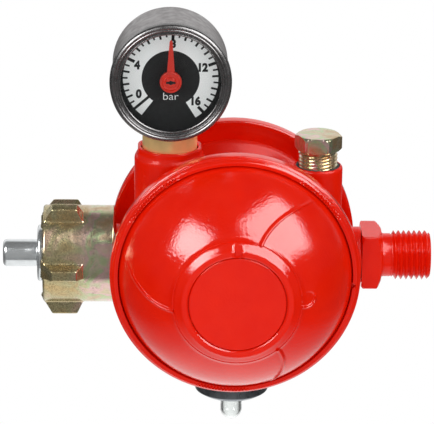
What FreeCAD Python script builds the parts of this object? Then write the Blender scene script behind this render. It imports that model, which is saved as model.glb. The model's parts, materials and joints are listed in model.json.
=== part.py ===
import FreeCAD, Part
import math
import os
import Sketcher

# Two-stage gas regulator with a pressure gauge, a union nut inlet, a screwed outlet and a shut-off.
#
# Frame: +X runs from inlet to outlet, +Y to the rear, +Z up. The origin is the centre of the inlet seal face.
# Most pieces are drawn about the housing centre, where the dome axis crosses the gas line, then moved on.

App = FreeCAD
V = App.Vector
X, Y, Z = V(1, 0, 0), V(0, 1, 0), V(0, 0, 1)

doc = App.newDocument("gas_regulator")
sheet = doc.addObject("Spreadsheet::Sheet", "Sizes")
nodes = {}


class Size:
    """A length together with the spreadsheet expression that gives it."""

    def __init__(self, value, text):
        self.value = value
        self.text = text

    def __add__(self, other):
        other = size(other)
        return Size(self.value + other.value, f"({self.text} + {other.text})")

    def __sub__(self, other):
        other = size(other)
        return Size(self.value - other.value, f"({self.text} - {other.text})")

    def __mul__(self, factor):
        return Size(self.value * factor, f"({self.text} * {factor})")

    def __neg__(self):
        return Size(-self.value, f"(-1 * {self.text})")

    __radd__ = __add__
    __rmul__ = __mul__

    def __rsub__(self, other):
        return size(other) - self


def size(value):
    """Takes a plain number as a Size."""
    return value if isinstance(value, Size) else Size(float(value), repr(float(value)))


def cell(alias, value):
    """Puts one driving dimension, in millimetres, into the spreadsheet."""
    row = cell.count = cell.count + 1
    sheet.set(f"A{row}", alias)
    sheet.set(f"B{row}", repr(float(value)))
    sheet.setAlias(f"B{row}", alias)
    return Size(float(value), f"Sizes.{alias}")


cell.count = 0

# Housing: a spool with a chamber on each side of a web, closed by two crimped covers.
reach = cell("reach", 55.5)
fit_gap = cell("fit_gap", 0.05)
rim_r = cell("rim_radius", 35.0)
rim_in = cell("rim_inner_face", 14.5)
rim_out = cell("rim_outer_face", 18.4)
lip_r = cell("lip_radius", 32.7)
lip_end = cell("lip_end", 20.0)
seat_y = cell("diaphragm_seat", 15.6)
clamp_r = cell("clamp_radius", 33.5)
hub_r = cell("hub_radius", 22.0)
bowl_r = cell("bowl_radius", 29.5)
floor_y = cell("chamber_floor", 6.0)
chamber_r = cell("chamber_radius", 26.6)
port_r = cell("port_radius", 3.0)
neck_r = cell("port_boss_radius", 8.0)
inlet_end = cell("inlet_boss_end", 33.7)
inlet_boss_r = cell("inlet_boss_radius", 8.5)
outlet_end = cell("outlet_boss_end", 36.0)
shank_r = cell("fitting_shank_radius", 6.0)
shank_len = cell("fitting_shank_length", 11.0)
drill_r = cell("small_drill_radius", 2.0)
gauge_x = cell("gauge_boss_offset", 18.4)
gauge_top = cell("gauge_boss_top", 32.3)
gauge_flats = cell("gauge_boss_across_flats", 17.9)
cup_r = cell("gauge_cup_radius", 8.0)
cup_floor = cell("gauge_cup_floor", 26.0)
plug_x = cell("test_boss_offset", 23.3)
plug_top = cell("test_boss_top", 27.1)
plug_boss_r = cell("test_boss_radius", 7.0)
plug_r = cell("test_plug_radius", 5.5)
plug_flats = cell("test_plug_flats", 12.0)
plug_low = cell("test_plug_head_bottom", 31.2)
plug_high = cell("test_plug_head_top", 35.6)
seal_r = cell("test_seal_radius", 6.2)
shut_end = cell("shutoff_boss_end", 35.1)
shut_boss_r = cell("shutoff_boss_radius", 9.6)
shut_r = cell("shutoff_bore_radius", 7.5)
shut_top = cell("shutoff_bore_top", 27.0)
post_w = cell("pivot_post_width", 1.6)
post_len = cell("pivot_post_length", 4.4)
post_gap = cell("pivot_post_gap", 0.25)

# Covers, diaphragms and loading springs.
wall = cell("cover_wall", 2.0)
collar_r = cell("collar_radius", 17.6)
disc_r = cell("cap_radius", 13.5)
tube_r = cell("adjuster_bore_radius", 12.6)
front_ball = cell("front_dome_radius", 33.6)
front_centre = cell("front_dome_centre", 10.2)
front_collar = cell("front_collar_height", 38.8)
rear_ball = cell("rear_dome_radius", 39.5)
rear_centre = cell("rear_dome_centre", -4.4)
rear_collar = cell("rear_collar_height", 31.0)
plate_r = cell("diaphragm_plate_radius", 21.0)
membrane_y = cell("diaphragm_height", 15.7)
stem_r = cell("stem_radius", 2.5)
coil_r = cell("spring_coil_radius", 9.0)
wire_r = cell("spring_wire_radius", 0.9)

# Lever valve of each stage.
pivot_u = cell("pivot_offset", 9.0)
pivot_y = cell("pivot_height", 9.4)
nozzle_u = cell("nozzle_offset", 14.0)
nozzle_top = cell("nozzle_top", 6.6)
nozzle_r = cell("nozzle_radius", 3.0)
pin_r = cell("lever_pin_radius", 1.0)
lever_w = cell("lever_width", 4.0)

# Inlet, measured back from the dome axis.
spigot_r = cell("spigot_radius", 3.85)
spigot_len = cell("spigot_length", 9.8)
flange_r = cell("nipple_flange_radius", 8.05)
flange_t = cell("nipple_flange_thickness", 1.9)
nut_front = cell("nut_front", 53.9)
nut_len = cell("nut_length", 20.0)
nut_r = cell("nut_radius", 13.7)
lug_r = cell("lug_tip_radius", 17.2)
thread_r = cell("nut_thread_radius", 9.75)
thread_len = cell("nut_thread_length", 10.6)
nut_bore = cell("nut_back_bore_radius", 6.35)

# Outlet.
wrench_flats = cell("outlet_wrench_flats", 15.0)
wrench_end = cell("outlet_wrench_end", 41.5)
outlet_neck_r = cell("outlet_neck_radius", 6.15)
outlet_thread_r = cell("outlet_thread_radius", 7.0)
outlet_thread_start = cell("outlet_thread_start", 45.1)
outlet_tip = cell("outlet_tip", 55.7)
tube_seat_r = cell("tube_seat_radius", 4.05)

# Gauge, measured from the centre of its dial.
gauge_z = cell("gauge_centre_height", 53.6)
dial_y = cell("dial_face", 8.1)
bezel_r = cell("bezel_radius", 17.0)
case_r = cell("case_radius", 16.5)
gauge_face = cell("bezel_face", 12.0)
case_front = cell("case_front", 10.5)
case_back = cell("case_back", 12.0)
window_r = cell("window_radius", 13.7)
socket_r = cell("socket_radius", 7.7)
socket_shank_r = cell("socket_shank_radius", 5.0)
arbor_r = cell("arbor_radius", 0.6)
module = cell("gear_module", 0.25)
tube_bend = cell("tube_bend_radius", 12.6)
tail_arm = cell("sector_tail_arm", 5.0)
PINION_TEETH = 12
SECTOR_TEETH = 72
SECTOR_SHOWN = 13
TAIL_ANGLE = math.radians(30)
TUBE_SWEEP = 255.5
TUBE_TIP = -6.0
gear_distance = module * ((PINION_TEETH + SECTOR_TEETH) / 2)

# Overpressure shut-off, measured down from the gas line.
ring_r = cell("shutoff_cover_radius", 10.5)
ring_end = cell("shutoff_cover_end", 40.9)
sight_r = cell("sight_cap_radius", 3.1)
sight_end = cell("sight_cap_end", 49.8)

doc.recompute()


def bind(obj, **sizes):
    """Ties properties of obj to spreadsheet expressions."""
    for name, value in sizes.items():
        obj.setExpression(name, size(value).text)


def place(obj, x=0.0, y=0.0, z=0.0, rotation=App.Rotation()):
    """Sets an object's turn, and binds the three parts of its place."""
    x, y, z = size(x), size(y), size(z)
    obj.Placement = App.Placement(V(x.value, y.value, z.value), rotation)
    for letter, value in (("x", x), ("y", y), ("z", z)):
        obj.setExpression(f"Placement.Base.{letter}", value.text)
    return obj


def keep(obj, name, x=0.0, y=0.0, z=0.0, rotation=App.Rotation()):
    """Makes obj a finished piece called name, set at a place given from the housing centre."""
    obj.Label = name
    place(obj, size(x) + reach, y, z, rotation)
    nodes[name] = obj
    return obj


def arc_between(start, end, radius):
    """Arc from start to end; a positive radius turns left. Also gives its start and end point numbers."""
    chord = end - start
    half = chord.Length / 2
    middle = (start + end) * 0.5
    left = V(-chord.y, chord.x, 0).normalize()
    offset = math.sqrt(max(radius**2 - half**2, 0.0))
    centre = middle + left * math.copysign(offset, radius)
    first, last = (start, end) if radius > 0 else (end, start)
    a0 = math.atan2(first.y - centre.y, first.x - centre.x)
    a1 = math.atan2(last.y - centre.y, last.x - centre.x)
    circle = Part.Circle(centre, Z, abs(radius))
    arc = Part.ArcOfCircle(circle, a0, a1 if a1 > a0 else a1 + 2 * math.pi)
    return arc, (1, 2) if radius > 0 else (2, 1)


def draw(sketch, outline):
    """Draws a closed outline. A corner is (x, y), or (x, y, radius) where an arc leads to the next corner."""
    corners = [V(size(p[0]).value, size(p[1]).value, 0) for p in outline]
    base = sketch.GeometryCount
    ends = []
    for i, point in enumerate(outline):
        start, end = corners[i], corners[(i + 1) % len(corners)]
        if len(point) == 3:
            edge, order = arc_between(start, end, size(point[2]).value)
        else:
            edge, order = Part.LineSegment(start, end), (1, 2)
        sketch.addGeometry(edge, False)
        ends.append(order)
    for i in range(len(outline)):
        after = (i + 1) % len(outline)
        sketch.addConstraint(
            Sketcher.Constraint("Coincident", base + i, ends[i][1], base + after, ends[after][0])
        )
    for i, point in enumerate(outline):
        pin_point(sketch, base + i, ends[i][0], point)
        if len(point) == 3:
            radius = size(point[2])
            radius = radius if radius.value > 0 else -radius
            index = sketch.addConstraint(Sketcher.Constraint("Radius", base + i, radius.value))
            sketch.setExpression(f"Constraints[{index}]", radius.text)


def pin_point(sketch, edge, end, point):
    """Fixes one corner of an outline at its two coordinates."""
    for kind, value, axis in (("DistanceX", size(point[0]), -2), ("DistanceY", size(point[1]), -1)):
        if value.value == 0:
            sketch.addConstraint(Sketcher.Constraint("PointOnObject", edge, end, axis))
        else:
            index = sketch.addConstraint(Sketcher.Constraint(kind, edge, end, value.value))
            sketch.setExpression(f"Constraints[{index}]", value.text)


def sketch_in(body, plane):
    """A new sketch on one of the body's own origin planes."""
    sketch = body.newObject("Sketcher::SketchObject", body.Name + "_sketch")
    support = [f for f in body.Origin.OriginFeatures if f.Role == plane][0]
    sketch.AttachmentSupport = [(support, "")]
    sketch.MapMode = "FlatFace"
    return sketch


def new_body(name):
    return doc.addObject("PartDesign::Body", name)


def turned(name, axis, outline):
    """A body turned about the X, Y or Z axis. Each corner is (place along the axis, radius[, arc radius])."""
    body = new_body(name)
    sketch = sketch_in(body, "XZ_Plane" if axis == "Z" else "XY_Plane")
    if axis == "X":
        draw(sketch, outline)
    else:
        flipped = [(p[1], p[0]) if len(p) == 2 else (p[1], p[0], -size(p[2])) for p in outline]
        draw(sketch, flipped)
    turn = body.newObject("PartDesign::Revolution", name + "_turn")
    turn.Profile = sketch
    turn.ReferenceAxis = (sketch, ["H_Axis" if axis == "X" else "V_Axis"])
    turn.Angle = 360.0
    sketch.Visibility = False
    return body


def padded(name, plane, outlines, depth, symmetric=False):
    """A body padded from one or more closed outlines on an origin plane."""
    body = new_body(name)
    sketch = sketch_in(body, plane)
    for outline in outlines:
        draw(sketch, outline)
    pad = body.newObject("PartDesign::Pad", name + "_pad")
    pad.Profile = sketch
    bind(pad, Length=depth)
    pad.Midplane = symmetric
    return body


def ring(start, end, inner, outer):
    """Outline of a plain ring, as corners along and out from the axis."""
    return [(start, inner), (end, inner), (end, outer), (start, outer)]


def rod(name, radius, length, direction, x=0.0, y=0.0, z=0.0):
    """A cylinder from a point along a direction."""
    cylinder = doc.addObject("Part::Cylinder", name)
    bind(cylinder, Radius=radius, Height=length)
    return place(cylinder, x, y, z, App.Rotation(Z, direction))


def block(name, dx, dy, dz, x, y, z):
    """A box with its lowest corner at x, y, z."""
    box = doc.addObject("Part::Box", name)
    bind(box, Length=dx, Width=dy, Height=dz)
    return place(box, x, y, z)


def prism(name, across_flats, sides, length, direction, x=0.0, y=0.0, z=0.0, turn=0.0):
    """A regular prism given by its size across flats."""
    solid = doc.addObject("Part::Prism", name)
    solid.Polygon = sides
    bind(solid, Circumradius=size(across_flats) * (0.5 / math.cos(math.pi / sides)), Height=length)
    return place(solid, x, y, z, App.Rotation(Z, direction) * App.Rotation(Z, turn))


def fused(name, *shapes, refine=True):
    fuse = doc.addObject("Part::MultiFuse", name)
    fuse.Shapes = list(shapes)
    fuse.Refine = refine
    return fuse


def cut(name, base, *tools):
    """Takes the tools away from base."""
    result = doc.addObject("Part::Cut", name)
    result.Base = base
    result.Tool = tools[0] if len(tools) == 1 else fused(name + "_tools", *tools)
    result.Refine = True
    return result


def drilled(name, base, bores):
    """Takes crossing bores away from base, one after another."""
    for bore in bores:
        base = cut(f"{name}_{bore.Name}", base, bore)
    return base


def common(name, *shapes):
    result = doc.addObject("Part::MultiCommon", name)
    result.Shapes = list(shapes)
    return result


def coil(name, radius, wire, length, turns):
    """A coil spring that stands on the XY plane along +Z."""
    helix = doc.addObject("Part::Helix", name + "_helix")
    height = size(length) - size(wire) * 2
    bind(helix, Radius=radius, Height=height, Pitch=height * (1.0 / turns))
    place(helix, z=wire)
    section = doc.addObject("Part::Circle", name + "_section")
    bind(section, Radius=wire)
    place(section, x=radius, z=wire, rotation=App.Rotation(X, 90))
    spring = doc.addObject("Part::Sweep", name + "_sweep")
    spring.Sections = [section]
    spring.Spine = (helix, ["Edge1"])
    spring.Solid = True
    spring.Frenet = True
    return spring


def shape_piece(name, shape, x=0.0, y=0.0, z=0.0, rotation=App.Rotation()):
    """A piece whose form comes from a formula."""
    feature = doc.addObject("Part::Feature", name)
    feature.Shape = shape
    return keep(feature, name, x, y, z, rotation)


FRONT = App.Rotation(Z, 180)
REAR = App.Rotation(Y, -90)


# ---------------------------------------------------------------- housing

def mirrored(half):
    """Closes half an outline with its mirror image about the plane through its first corner."""
    far = []
    for i in range(len(half) - 1, 0, -1):
        along, radius = half[i][:2]
        far.append((-size(along), radius) + half[i - 1][2:])
    return half + far


def spool():
    """Housing without its bosses: two crimp lips, two seats and two chambers, mirrored about the web."""
    side = [
        (0, hub_r), (8.0, hub_r), (13.4, bowl_r - 0.6), (13.4, bowl_r), (rim_in, bowl_r), (rim_in, rim_r),
        (rim_out, rim_r, -1.6), (lip_end, rim_r - 1.6), (lip_end, lip_r), (rim_out + fit_gap, lip_r),
        (rim_out + fit_gap, clamp_r), (seat_y, clamp_r), (seat_y, 29.0), (12.6, chamber_r), (7.4, 19.6),
        (floor_y, 18.2), (floor_y, 0),
    ]
    return turned("spool", "Y", mirrored(side))


def housing():
    """The cast housing with its inlet, outlet, gauge, test and shut-off bosses, bored through."""
    gauge_root = rod("gauge_root", 9.9, cup_floor, Z, -gauge_x)
    collar = prism("gauge_collar", gauge_flats, 8, gauge_top, Z, -gauge_x, turn=22.5)
    bosses = [
        rod("inlet_boss", inlet_boss_r, inlet_end, -X), rod("outlet_boss", neck_r, outlet_end, X),
        rod("test_boss", plug_boss_r, plug_top, Z, plug_x), rod("shutoff_boss", shut_boss_r, shut_end, -Z),
        gauge_root, collar,
    ]
    solid = fused("housing_solid", rod("hub_core", hub_r - 0.5, 12.0, Y, 0, -6.0), *bosses)
    shell = fused("housing_shell", spool(), cut("bosses_cleared", solid, *chamber_forms()))
    seat_bore = shank_r + fit_gap
    nozzle_bore = nozzle_r + fit_gap
    bores = [
        rod("inlet_seat", seat_bore, shank_len, X, -inlet_end),
        rod("inlet_port", port_r, inlet_end - nozzle_u + port_r, X, -inlet_end),
        rod("outlet_seat", seat_bore, shank_len, -X, outlet_end),
        rod("outlet_port", port_r, outlet_end - nozzle_u + port_r, -X, outlet_end),
        rod("outlet_drop", port_r, 10.0, -Y, nozzle_u),
        rod("outlet_recess", 7.8, 0.9, -X, outlet_end),
        rod("first_nozzle_bore", nozzle_bore, 10.0, Y, -nozzle_u),
        rod("second_feed", drill_r, 20.0, -Y, 0, 10.0, nozzle_u),
        rod("second_nozzle_bore", nozzle_bore, 12.0, -Y, 0, -3.0, nozzle_u),
        rod("gauge_port", drill_r, 20.0, Z, -gauge_x),
        rod("gauge_seat", socket_shank_r + fit_gap, 20.0, Z, -gauge_x, 0, 14.0),
        rod("gauge_cup", cup_r, 10.0, Z, -gauge_x, 0, cup_floor),
        rod("test_port", drill_r, 20.0, Z, plug_x),
        rod("test_seat", plug_r + fit_gap, 20.0, Z, plug_x, 0, 12.0),
        rod("test_mouth", seal_r, 2.0, Z, plug_x, 0, plug_top - 1.0),
        rod("shutoff_bore", shut_r + fit_gap, 20.0, -Z, 0, 0, -shut_top),
        rod("shutoff_port", 1.6, 10.0, -Z, 0, 0, -19.0),
        rod("shutoff_sense", 1.5, 12.0, -Y, 0, 0, -20.6),
    ]
    bored = drilled("housing", shell, bores)
    posts = [post for stage in ("first", "second") for post in pivot_posts(stage)]
    return keep(fused("housing", bored, *posts, refine=False), "housing")


def chamber_forms():
    """The two chamber hollows, as solids to clear boss material out of them."""
    forms = []
    outline = [
        (floor_y, 0), (floor_y, 18.2), (7.4, 19.6), (12.6, chamber_r), (seat_y, 29.0), (40.0, 29.0),
        (40.0, 0),
    ]
    for name, sign in (("front_hollow", -1), ("rear_hollow", 1)):
        forms.append(turned(name, "Y", [(size(a) * sign, r) for a, r in outline]))
    return forms


def stage_turn(stage):
    return REAR if stage == "first" else FRONT


def pivot_posts(stage):
    """Two posts on the chamber floor that hold the lever pin; the lever is drawn along +Z, outward is +Y."""
    posts = []
    for end in (-1, 1):
        name = f"{stage}_post_{'a' if end < 0 else 'b'}"
        inner = lever_w * 0.5 + post_gap
        low = inner if end > 0 else -(inner + post_w)
        height = pivot_y - floor_y + 2.7
        post = block(name, post_w, height, post_len, low, floor_y - 0.5, pivot_u - post_len * 0.5)
        hole = rod(name + "_hole", pin_r + 0.01, 12.0, X, -6.0, pivot_y, pivot_u)
        bored = cut(name + "_bored", post, hole)
        bored.Placement = App.Placement(V(0, 0, 0), stage_turn(stage))
        posts.append(bored)
    return posts


# ---------------------------------------------------------------- one pressure stage

def cover(stage, ball, centre, collar, flat_top):
    """Domed cover with a clamping flange, a central collar and a threaded bore for the adjuster."""
    inner_ball = ball - wall
    low = seat_y + 1.1
    collar_top = collar + (1.8 if flat_top else 2.6)
    cap_seat = collar + (0.95 if flat_top else 1.35)
    shoulder = 16.9 if flat_top else 14.6
    neck_in = 15.4
    foot = collar - 5.0
    rise = math.sqrt(ball.value**2 - (rim_out.value - centre.value) ** 2)
    inner_foot = math.sqrt(inner_ball.value**2 - (low.value - centre.value) ** 2)
    under = centre.value + math.sqrt(inner_ball.value**2 - neck_in**2)
    outline = [
        (low, inner_foot, -inner_ball), (under, neck_in), (foot, neck_in), (foot, tube_r), (cap_seat, tube_r),
        (cap_seat, disc_r), (collar_top, disc_r), (collar_top, shoulder), (collar + 0.7, collar_r - 0.3),
        (collar, collar_r, ball), (rim_out, rise), (rim_out, clamp_r - fit_gap), (low, clamp_r - fit_gap),
    ]
    shell = turned(f"{stage}_cover", "Y", outline)
    vent = block(f"{stage}_vent", 2.6, 3.0, 6.0, -1.3, collar_top - 1.1, disc_r - 0.5)
    vented = cut(f"{stage}_cover_vented", shell, vent)
    keep(vented, f"{stage}_stage_cover", rotation=stage_turn(stage))


def moving_set(stage):
    """Diaphragm, plate and stem."""
    turn = stage_turn(stage)
    membrane = [
        (seat_y, 29.2), (seat_y, clamp_r - 0.1), (seat_y + 1.05, clamp_r - 0.1), (seat_y + 1.05, 29.6),
        (membrane_y + 2.2, 27.6, -2.4), (membrane_y + 2.2, 24.8), (membrane_y + 0.8, 22.6),
        (membrane_y + 0.8, stem_r), (membrane_y, stem_r), (membrane_y, 23.0),
        (membrane_y + 1.3, 25.2, 1.7), (membrane_y + 1.3, 27.4),
    ]
    keep(turned(f"{stage}_membrane", "Y", membrane), f"{stage}_stage_diaphragm", rotation=turn)
    top = membrane_y + 0.85
    plate = [
        (top, stem_r + fit_gap), (top, plate_r), (top + 2.2, plate_r + 0.6), (top + 2.2, plate_r - 0.4),
        (top + 1.2, plate_r - 1.2), (top + 1.2, stem_r + fit_gap),
    ]
    keep(turned(f"{stage}_plate", "Y", plate), f"{stage}_stage_diaphragm_plate", rotation=turn)
    stem = [
        (7.6, 0), (7.6, stem_r + 0.6), (membrane_y - 1.0, stem_r + 0.6), (membrane_y - 1.0, 8.0),
        (membrane_y - 0.02, 8.0), (membrane_y - 0.02, stem_r - 0.05), (top + 1.25, stem_r - 0.05),
        (top + 1.25, stem_r + 1.4), (top + 2.6, stem_r + 1.0), (top + 2.6, 0),
    ]
    body = turned(f"{stage}_stem_turned", "Y", stem)
    slot = block(f"{stage}_stem_slot", lever_w + 0.4, 2.0, 12.0, lever_w * -0.5 - 0.2, pivot_y - 1.0, -6.0)
    keep(cut(f"{stage}_stem", body, slot), f"{stage}_stage_stem", rotation=turn)


def loading_spring(stage, collar):
    """Loading spring, its adjuster and the cap over the adjuster."""
    turn = stage_turn(stage)
    low = membrane_y + 0.85 + 1.25
    adjuster_low = collar - 4.6
    spring = coil(f"{stage}_spring", coil_r, wire_r, adjuster_low - low - 0.05, 6 if stage == "second" else 3)
    side = 1 if stage == "first" else -1
    keep(spring, f"{stage}_stage_spring", 0, low * side, 0, turn * App.Rotation(X, -90))
    disc = rod(f"{stage}_adjuster_disc", tube_r - fit_gap, 3.6, Y, 0, adjuster_low)
    key = prism(f"{stage}_adjuster_key", 8.0, 6, 5.0, Y, 0, adjuster_low - 0.5)
    keep(cut(f"{stage}_adjuster", disc, key), f"{stage}_stage_adjuster", rotation=turn)


def adjuster_cap(stage, seat, rise):
    """Round cap that closes the adjuster bore and sits inside the collar."""
    outline = [
        (seat - 0.9, 0), (seat - 0.9, tube_r - fit_gap), (seat + 0.02, tube_r - fit_gap),
        (seat + 0.02, disc_r - fit_gap), (seat + rise, disc_r - fit_gap - 0.15), (seat + rise, 0),
    ]
    keep(turned(f"{stage}_cap", "Y", outline), f"{stage}_stage_cap", rotation=stage_turn(stage))


def lever_valve(stage, orifice):
    """Lever on its pin, with a rubber pad that closes a brass nozzle on the far side of the pivot."""
    turn = stage_turn(stage)
    low, high = pivot_y - 0.8, pivot_y + 0.8
    outline = [
        (pivot_y - 0.45, -2.6), (pivot_y + 0.45, -2.6), (pivot_y + 0.45, 2.8), (high, 5.0),
        (high, pivot_u + 7.6), (low, pivot_u + 7.6), (low, 5.0), (pivot_y - 0.45, 2.8),
    ]
    bar = padded(f"{stage}_lever_bar", "YZ_Plane", [outline], lever_w, symmetric=True)
    knuckle = rod(f"{stage}_lever_knuckle", 1.9, lever_w, X, lever_w * -0.5, pivot_y, pivot_u)
    hole = rod(f"{stage}_lever_hole", pin_r + 0.03, 12.0, X, -6.0, pivot_y, pivot_u)
    solid = fused(f"{stage}_lever_solid", bar, knuckle)
    keep(cut(f"{stage}_lever", solid, hole), f"{stage}_stage_lever", rotation=turn)
    length = lever_w + (post_w + post_gap) * 2 + 0.2
    pin = rod(f"{stage}_pin", pin_r - 0.01, length, X)
    spot = turn.multVec(V(-length.value / 2, pivot_y.value, pivot_u.value))
    keep(pin, f"{stage}_stage_lever_pin", spot.x, spot.y, spot.z, turn * App.Rotation(Z, X))
    pad = turned(f"{stage}_pad", "Y", [(pivot_y - 1.95, 0), (pivot_y - 1.95, 2.2), (low, 2.5), (low, 0)])
    spot = turn.multVec(V(0, 0, nozzle_u.value))
    keep(pad, f"{stage}_stage_seat_pad", spot.x, spot.y, spot.z, turn)
    nozzle = [
        (port_r + 0.25, orifice), (nozzle_top - 0.4, orifice), (nozzle_top, orifice + 0.4),
        (nozzle_top, orifice + 0.7), (nozzle_top - 0.7, orifice + 1.0), (floor_y, nozzle_r),
        (port_r + 0.25, nozzle_r),
    ]
    keep(turned(f"{stage}_nozzle", "Y", nozzle), f"{stage}_stage_nozzle", spot.x, spot.y, spot.z, turn)


def stages():
    cover("second", front_ball, front_centre, front_collar, False)
    cover("first", rear_ball, rear_centre, rear_collar, True)
    adjuster_cap("second", front_collar + 1.35, 0.75)
    adjuster_cap("first", rear_collar + 0.95, 1.2)
    for stage, collar, orifice in (("first", rear_collar, 0.9), ("second", front_collar, 1.5)):
        moving_set(stage)
        loading_spring(stage, collar)
        lever_valve(stage, orifice)


# ---------------------------------------------------------------- inlet

def inlet():
    """Nipple with its spigot and flange, filter, and the union nut on its thrust washer."""
    face = -reach
    tip = face - spigot_len
    back = face + flange_t
    shank_end = shank_len - inlet_end - 0.6
    nipple = [
        (tip, 1.5), (tip, spigot_r - 0.7, -0.7), (tip + 0.7, spigot_r), (face, spigot_r),
        (face, flange_r - 0.8, -0.8), (face + 0.8, flange_r), (back, flange_r), (back, shank_r),
        (shank_end, shank_r), (shank_end, drill_r), (face + 2.0, drill_r), (face + 2.0, 1.5),
    ]
    keep(turned("nipple", "X", nipple), "inlet_nipple")
    keep(turned("filter", "X", ring(face + 2.1, face + 12.0, 0.9, 1.95)), "inlet_filter")
    washer = ring(nut_len - nut_front - 9.4, nut_len - nut_front - 8.6, shank_r + 0.06, 9.6)
    keep(turned("nut_washer_ring", "X", washer), "nut_thrust_washer")
    keep(union_nut(), "union_nut")


def union_nut():
    """Round union nut with five finger lugs round its front half."""
    front, end = -nut_front, nut_len - nut_front
    shoulder = front + thread_len
    outline = [
        (front, thread_r + 0.9), (front + 0.9, thread_r),
        (shoulder + 0.85, thread_r), (shoulder + 0.85, nut_bore),
        (end, nut_bore), (end, nut_r - 0.5), (end - 0.5, nut_r), (front + 1.4, nut_r), (front, nut_r - 1.2),
    ]
    lugs = []
    for k in range(5):
        lug = doc.addObject("Part::Wedge", f"lug_{k}")
        bind(lug, Xmin=-5.2, Xmax=5.2, X2min=-3.6, X2max=3.7, Zmin=-2.6, Zmax=2.6, Z2min=-1.8, Z2max=1.8)
        bind(lug, Ymin=nut_r - 1.0, Ymax=lug_r)
        lean = App.Rotation(X, 90 + 26 + 72 * k)
        lugs.append(place(lug, front + 6.5, 0, 0, lean))
    return fused("nut", turned("nut_turned", "X", outline), *lugs)


# ---------------------------------------------------------------- outlet and test plug

def wrench_waste(name, across_flats, sides, length, direction, turn, **at):
    """Ring of waste outside a regular prism, to cut wrench flats on a turned blank."""
    blank = rod(name + "_blank", across_flats, length, direction, **at)
    return cut(name, blank, prism(name + "_core", across_flats, sides, length, direction, turn=turn, **at))


def outlet():
    """Outlet fitting with a square wrench block and a thread, and its seal."""
    corner = wrench_flats * 0.69
    block_start = outlet_end + fit_gap
    shank_end = outlet_end - shank_len + 0.4
    tube_stop = 49.2
    blank = [
        (shank_end, port_r), (tube_stop, port_r), (tube_stop, tube_seat_r), (outlet_tip - 1.9, tube_seat_r),
        (outlet_tip, tube_seat_r + 0.9), (outlet_tip, outlet_thread_r - 1.1),
        (outlet_tip - 1.1, outlet_thread_r), (outlet_thread_start, outlet_thread_r),
        (outlet_thread_start - 0.6, outlet_neck_r), (wrench_end, outlet_neck_r), (wrench_end, corner - 2.9),
        (wrench_end - 1.45, corner), (block_start + 0.5, corner), (block_start, corner - 0.8),
        (block_start, shank_r), (shank_end, shank_r),
    ]
    length = wrench_end - outlet_end + 0.2
    waste = wrench_waste("outlet_waste", wrench_flats, 4, length, X, 45.0, x=outlet_end - 0.1)
    keep(cut("outlet_fitting_cut", turned("outlet_blank", "X", blank), waste), "outlet_fitting")
    seal = ring(outlet_end - 0.85, outlet_end, shank_r + 0.06, 7.7)
    keep(turned("outlet_seal_ring", "X", seal), "outlet_seal")


def test_plug():
    """Hexagon plug of the test port, and its seal."""
    foot = 13.5
    corner = plug_flats * 0.5775
    blank = [
        (foot, 0), (foot, plug_r - 1.0), (foot + 1.0, plug_r), (plug_low, plug_r), (plug_low, corner - 0.63),
        (plug_low + 0.4, corner), (plug_high - 0.5, corner), (plug_high, corner - 0.93), (plug_high, 0),
    ]
    waste = wrench_waste("plug_waste", plug_flats, 6, 5.0, Z, 0.0, z=plug_low - 0.2)
    keep(cut("plug_cut", turned("plug_blank", "Z", blank), waste), "test_plug", plug_x)
    seal = ring(plug_top - 0.9, plug_top - 0.3, plug_r + 0.06, seal_r - 0.1)
    keep(turned("plug_seal_ring", "Z", seal), "test_plug_seal", plug_x)


# ---------------------------------------------------------------- overpressure shut-off

def shutoff():
    """Overpressure shut-off: screwed cover, clear sight cap, indicator pin, diaphragm and spring."""
    low, top = -ring_end, -shut_end
    bore = 6.2
    cover_outline = [
        (low + 1.5, 1.3), (low + 1.5, sight_r + fit_gap), (low, sight_r + fit_gap), (low, ring_r - 1.5),
        (low + 1.0, ring_r), (top - fit_gap, ring_r), (top - fit_gap, shut_r), (top + 3.4, shut_r),
        (top + 3.4, bore), (low + 3.2, bore), (low + 3.2, 1.3),
    ]
    keep(turned("shutoff_ring", "Z", cover_outline), "shutoff_cover")
    bulge = sight_r - 0.6
    cap = [
        (low + 1.45, bulge), (low + 1.45, sight_r), (-sight_end + sight_r, sight_r, sight_r), (-sight_end, 0),
        (-sight_end + 0.6, 0, -bulge), (-sight_end + sight_r, bulge),
    ]
    keep(turned("sight", "Z", cap), "shutoff_sight_cap")
    plate_top, plate_low, neck_low, pin_low = -30.4, -31.4, -41.0, -44.4
    piston = [
        (plate_top, 0), (plate_top, 5.9), (plate_low, 5.9), (plate_low, 1.1), (neck_low, 1.1),
        (neck_low, 1.5), (pin_low + 0.8, 1.5), (pin_low, 0.8), (pin_low, 0),
    ]
    keep(turned("piston", "Z", piston), "shutoff_indicator")
    sheet_low = plate_top + fit_gap
    keep(turned("shutoff_sheet", "Z", ring(sheet_low, -29.6, 0.0, shut_r - fit_gap)), "shutoff_diaphragm")
    keep(coil("shutoff", 3.6, 0.4, 5.4, 5), "shutoff_spring", 0, 0, -36.95)


# ---------------------------------------------------------------- gauge

def involute_tooth(teeth, gear_module, backlash, steps=6):
    """Half-tooth flank of an involute gear with 20 degree pressure angle: list of (radius, half angle)."""
    pitch = teeth * gear_module / 2
    base = pitch * math.cos(math.radians(20))
    tip = pitch + 0.8 * gear_module
    root = pitch - 1.0 * gear_module
    half = math.pi / (2 * teeth) - backlash / (2 * pitch)
    at_pitch = math.tan(math.radians(20)) - math.radians(20)
    start = max(base, root)
    flank = [(root, half + at_pitch)] if root < base else []
    for i in range(steps + 1):
        radius = start + (tip - start) * i / steps
        roll = math.acos(min(1.0, base / radius))
        flank.append((radius, half + at_pitch - (math.tan(roll) - roll)))
    return flank


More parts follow.
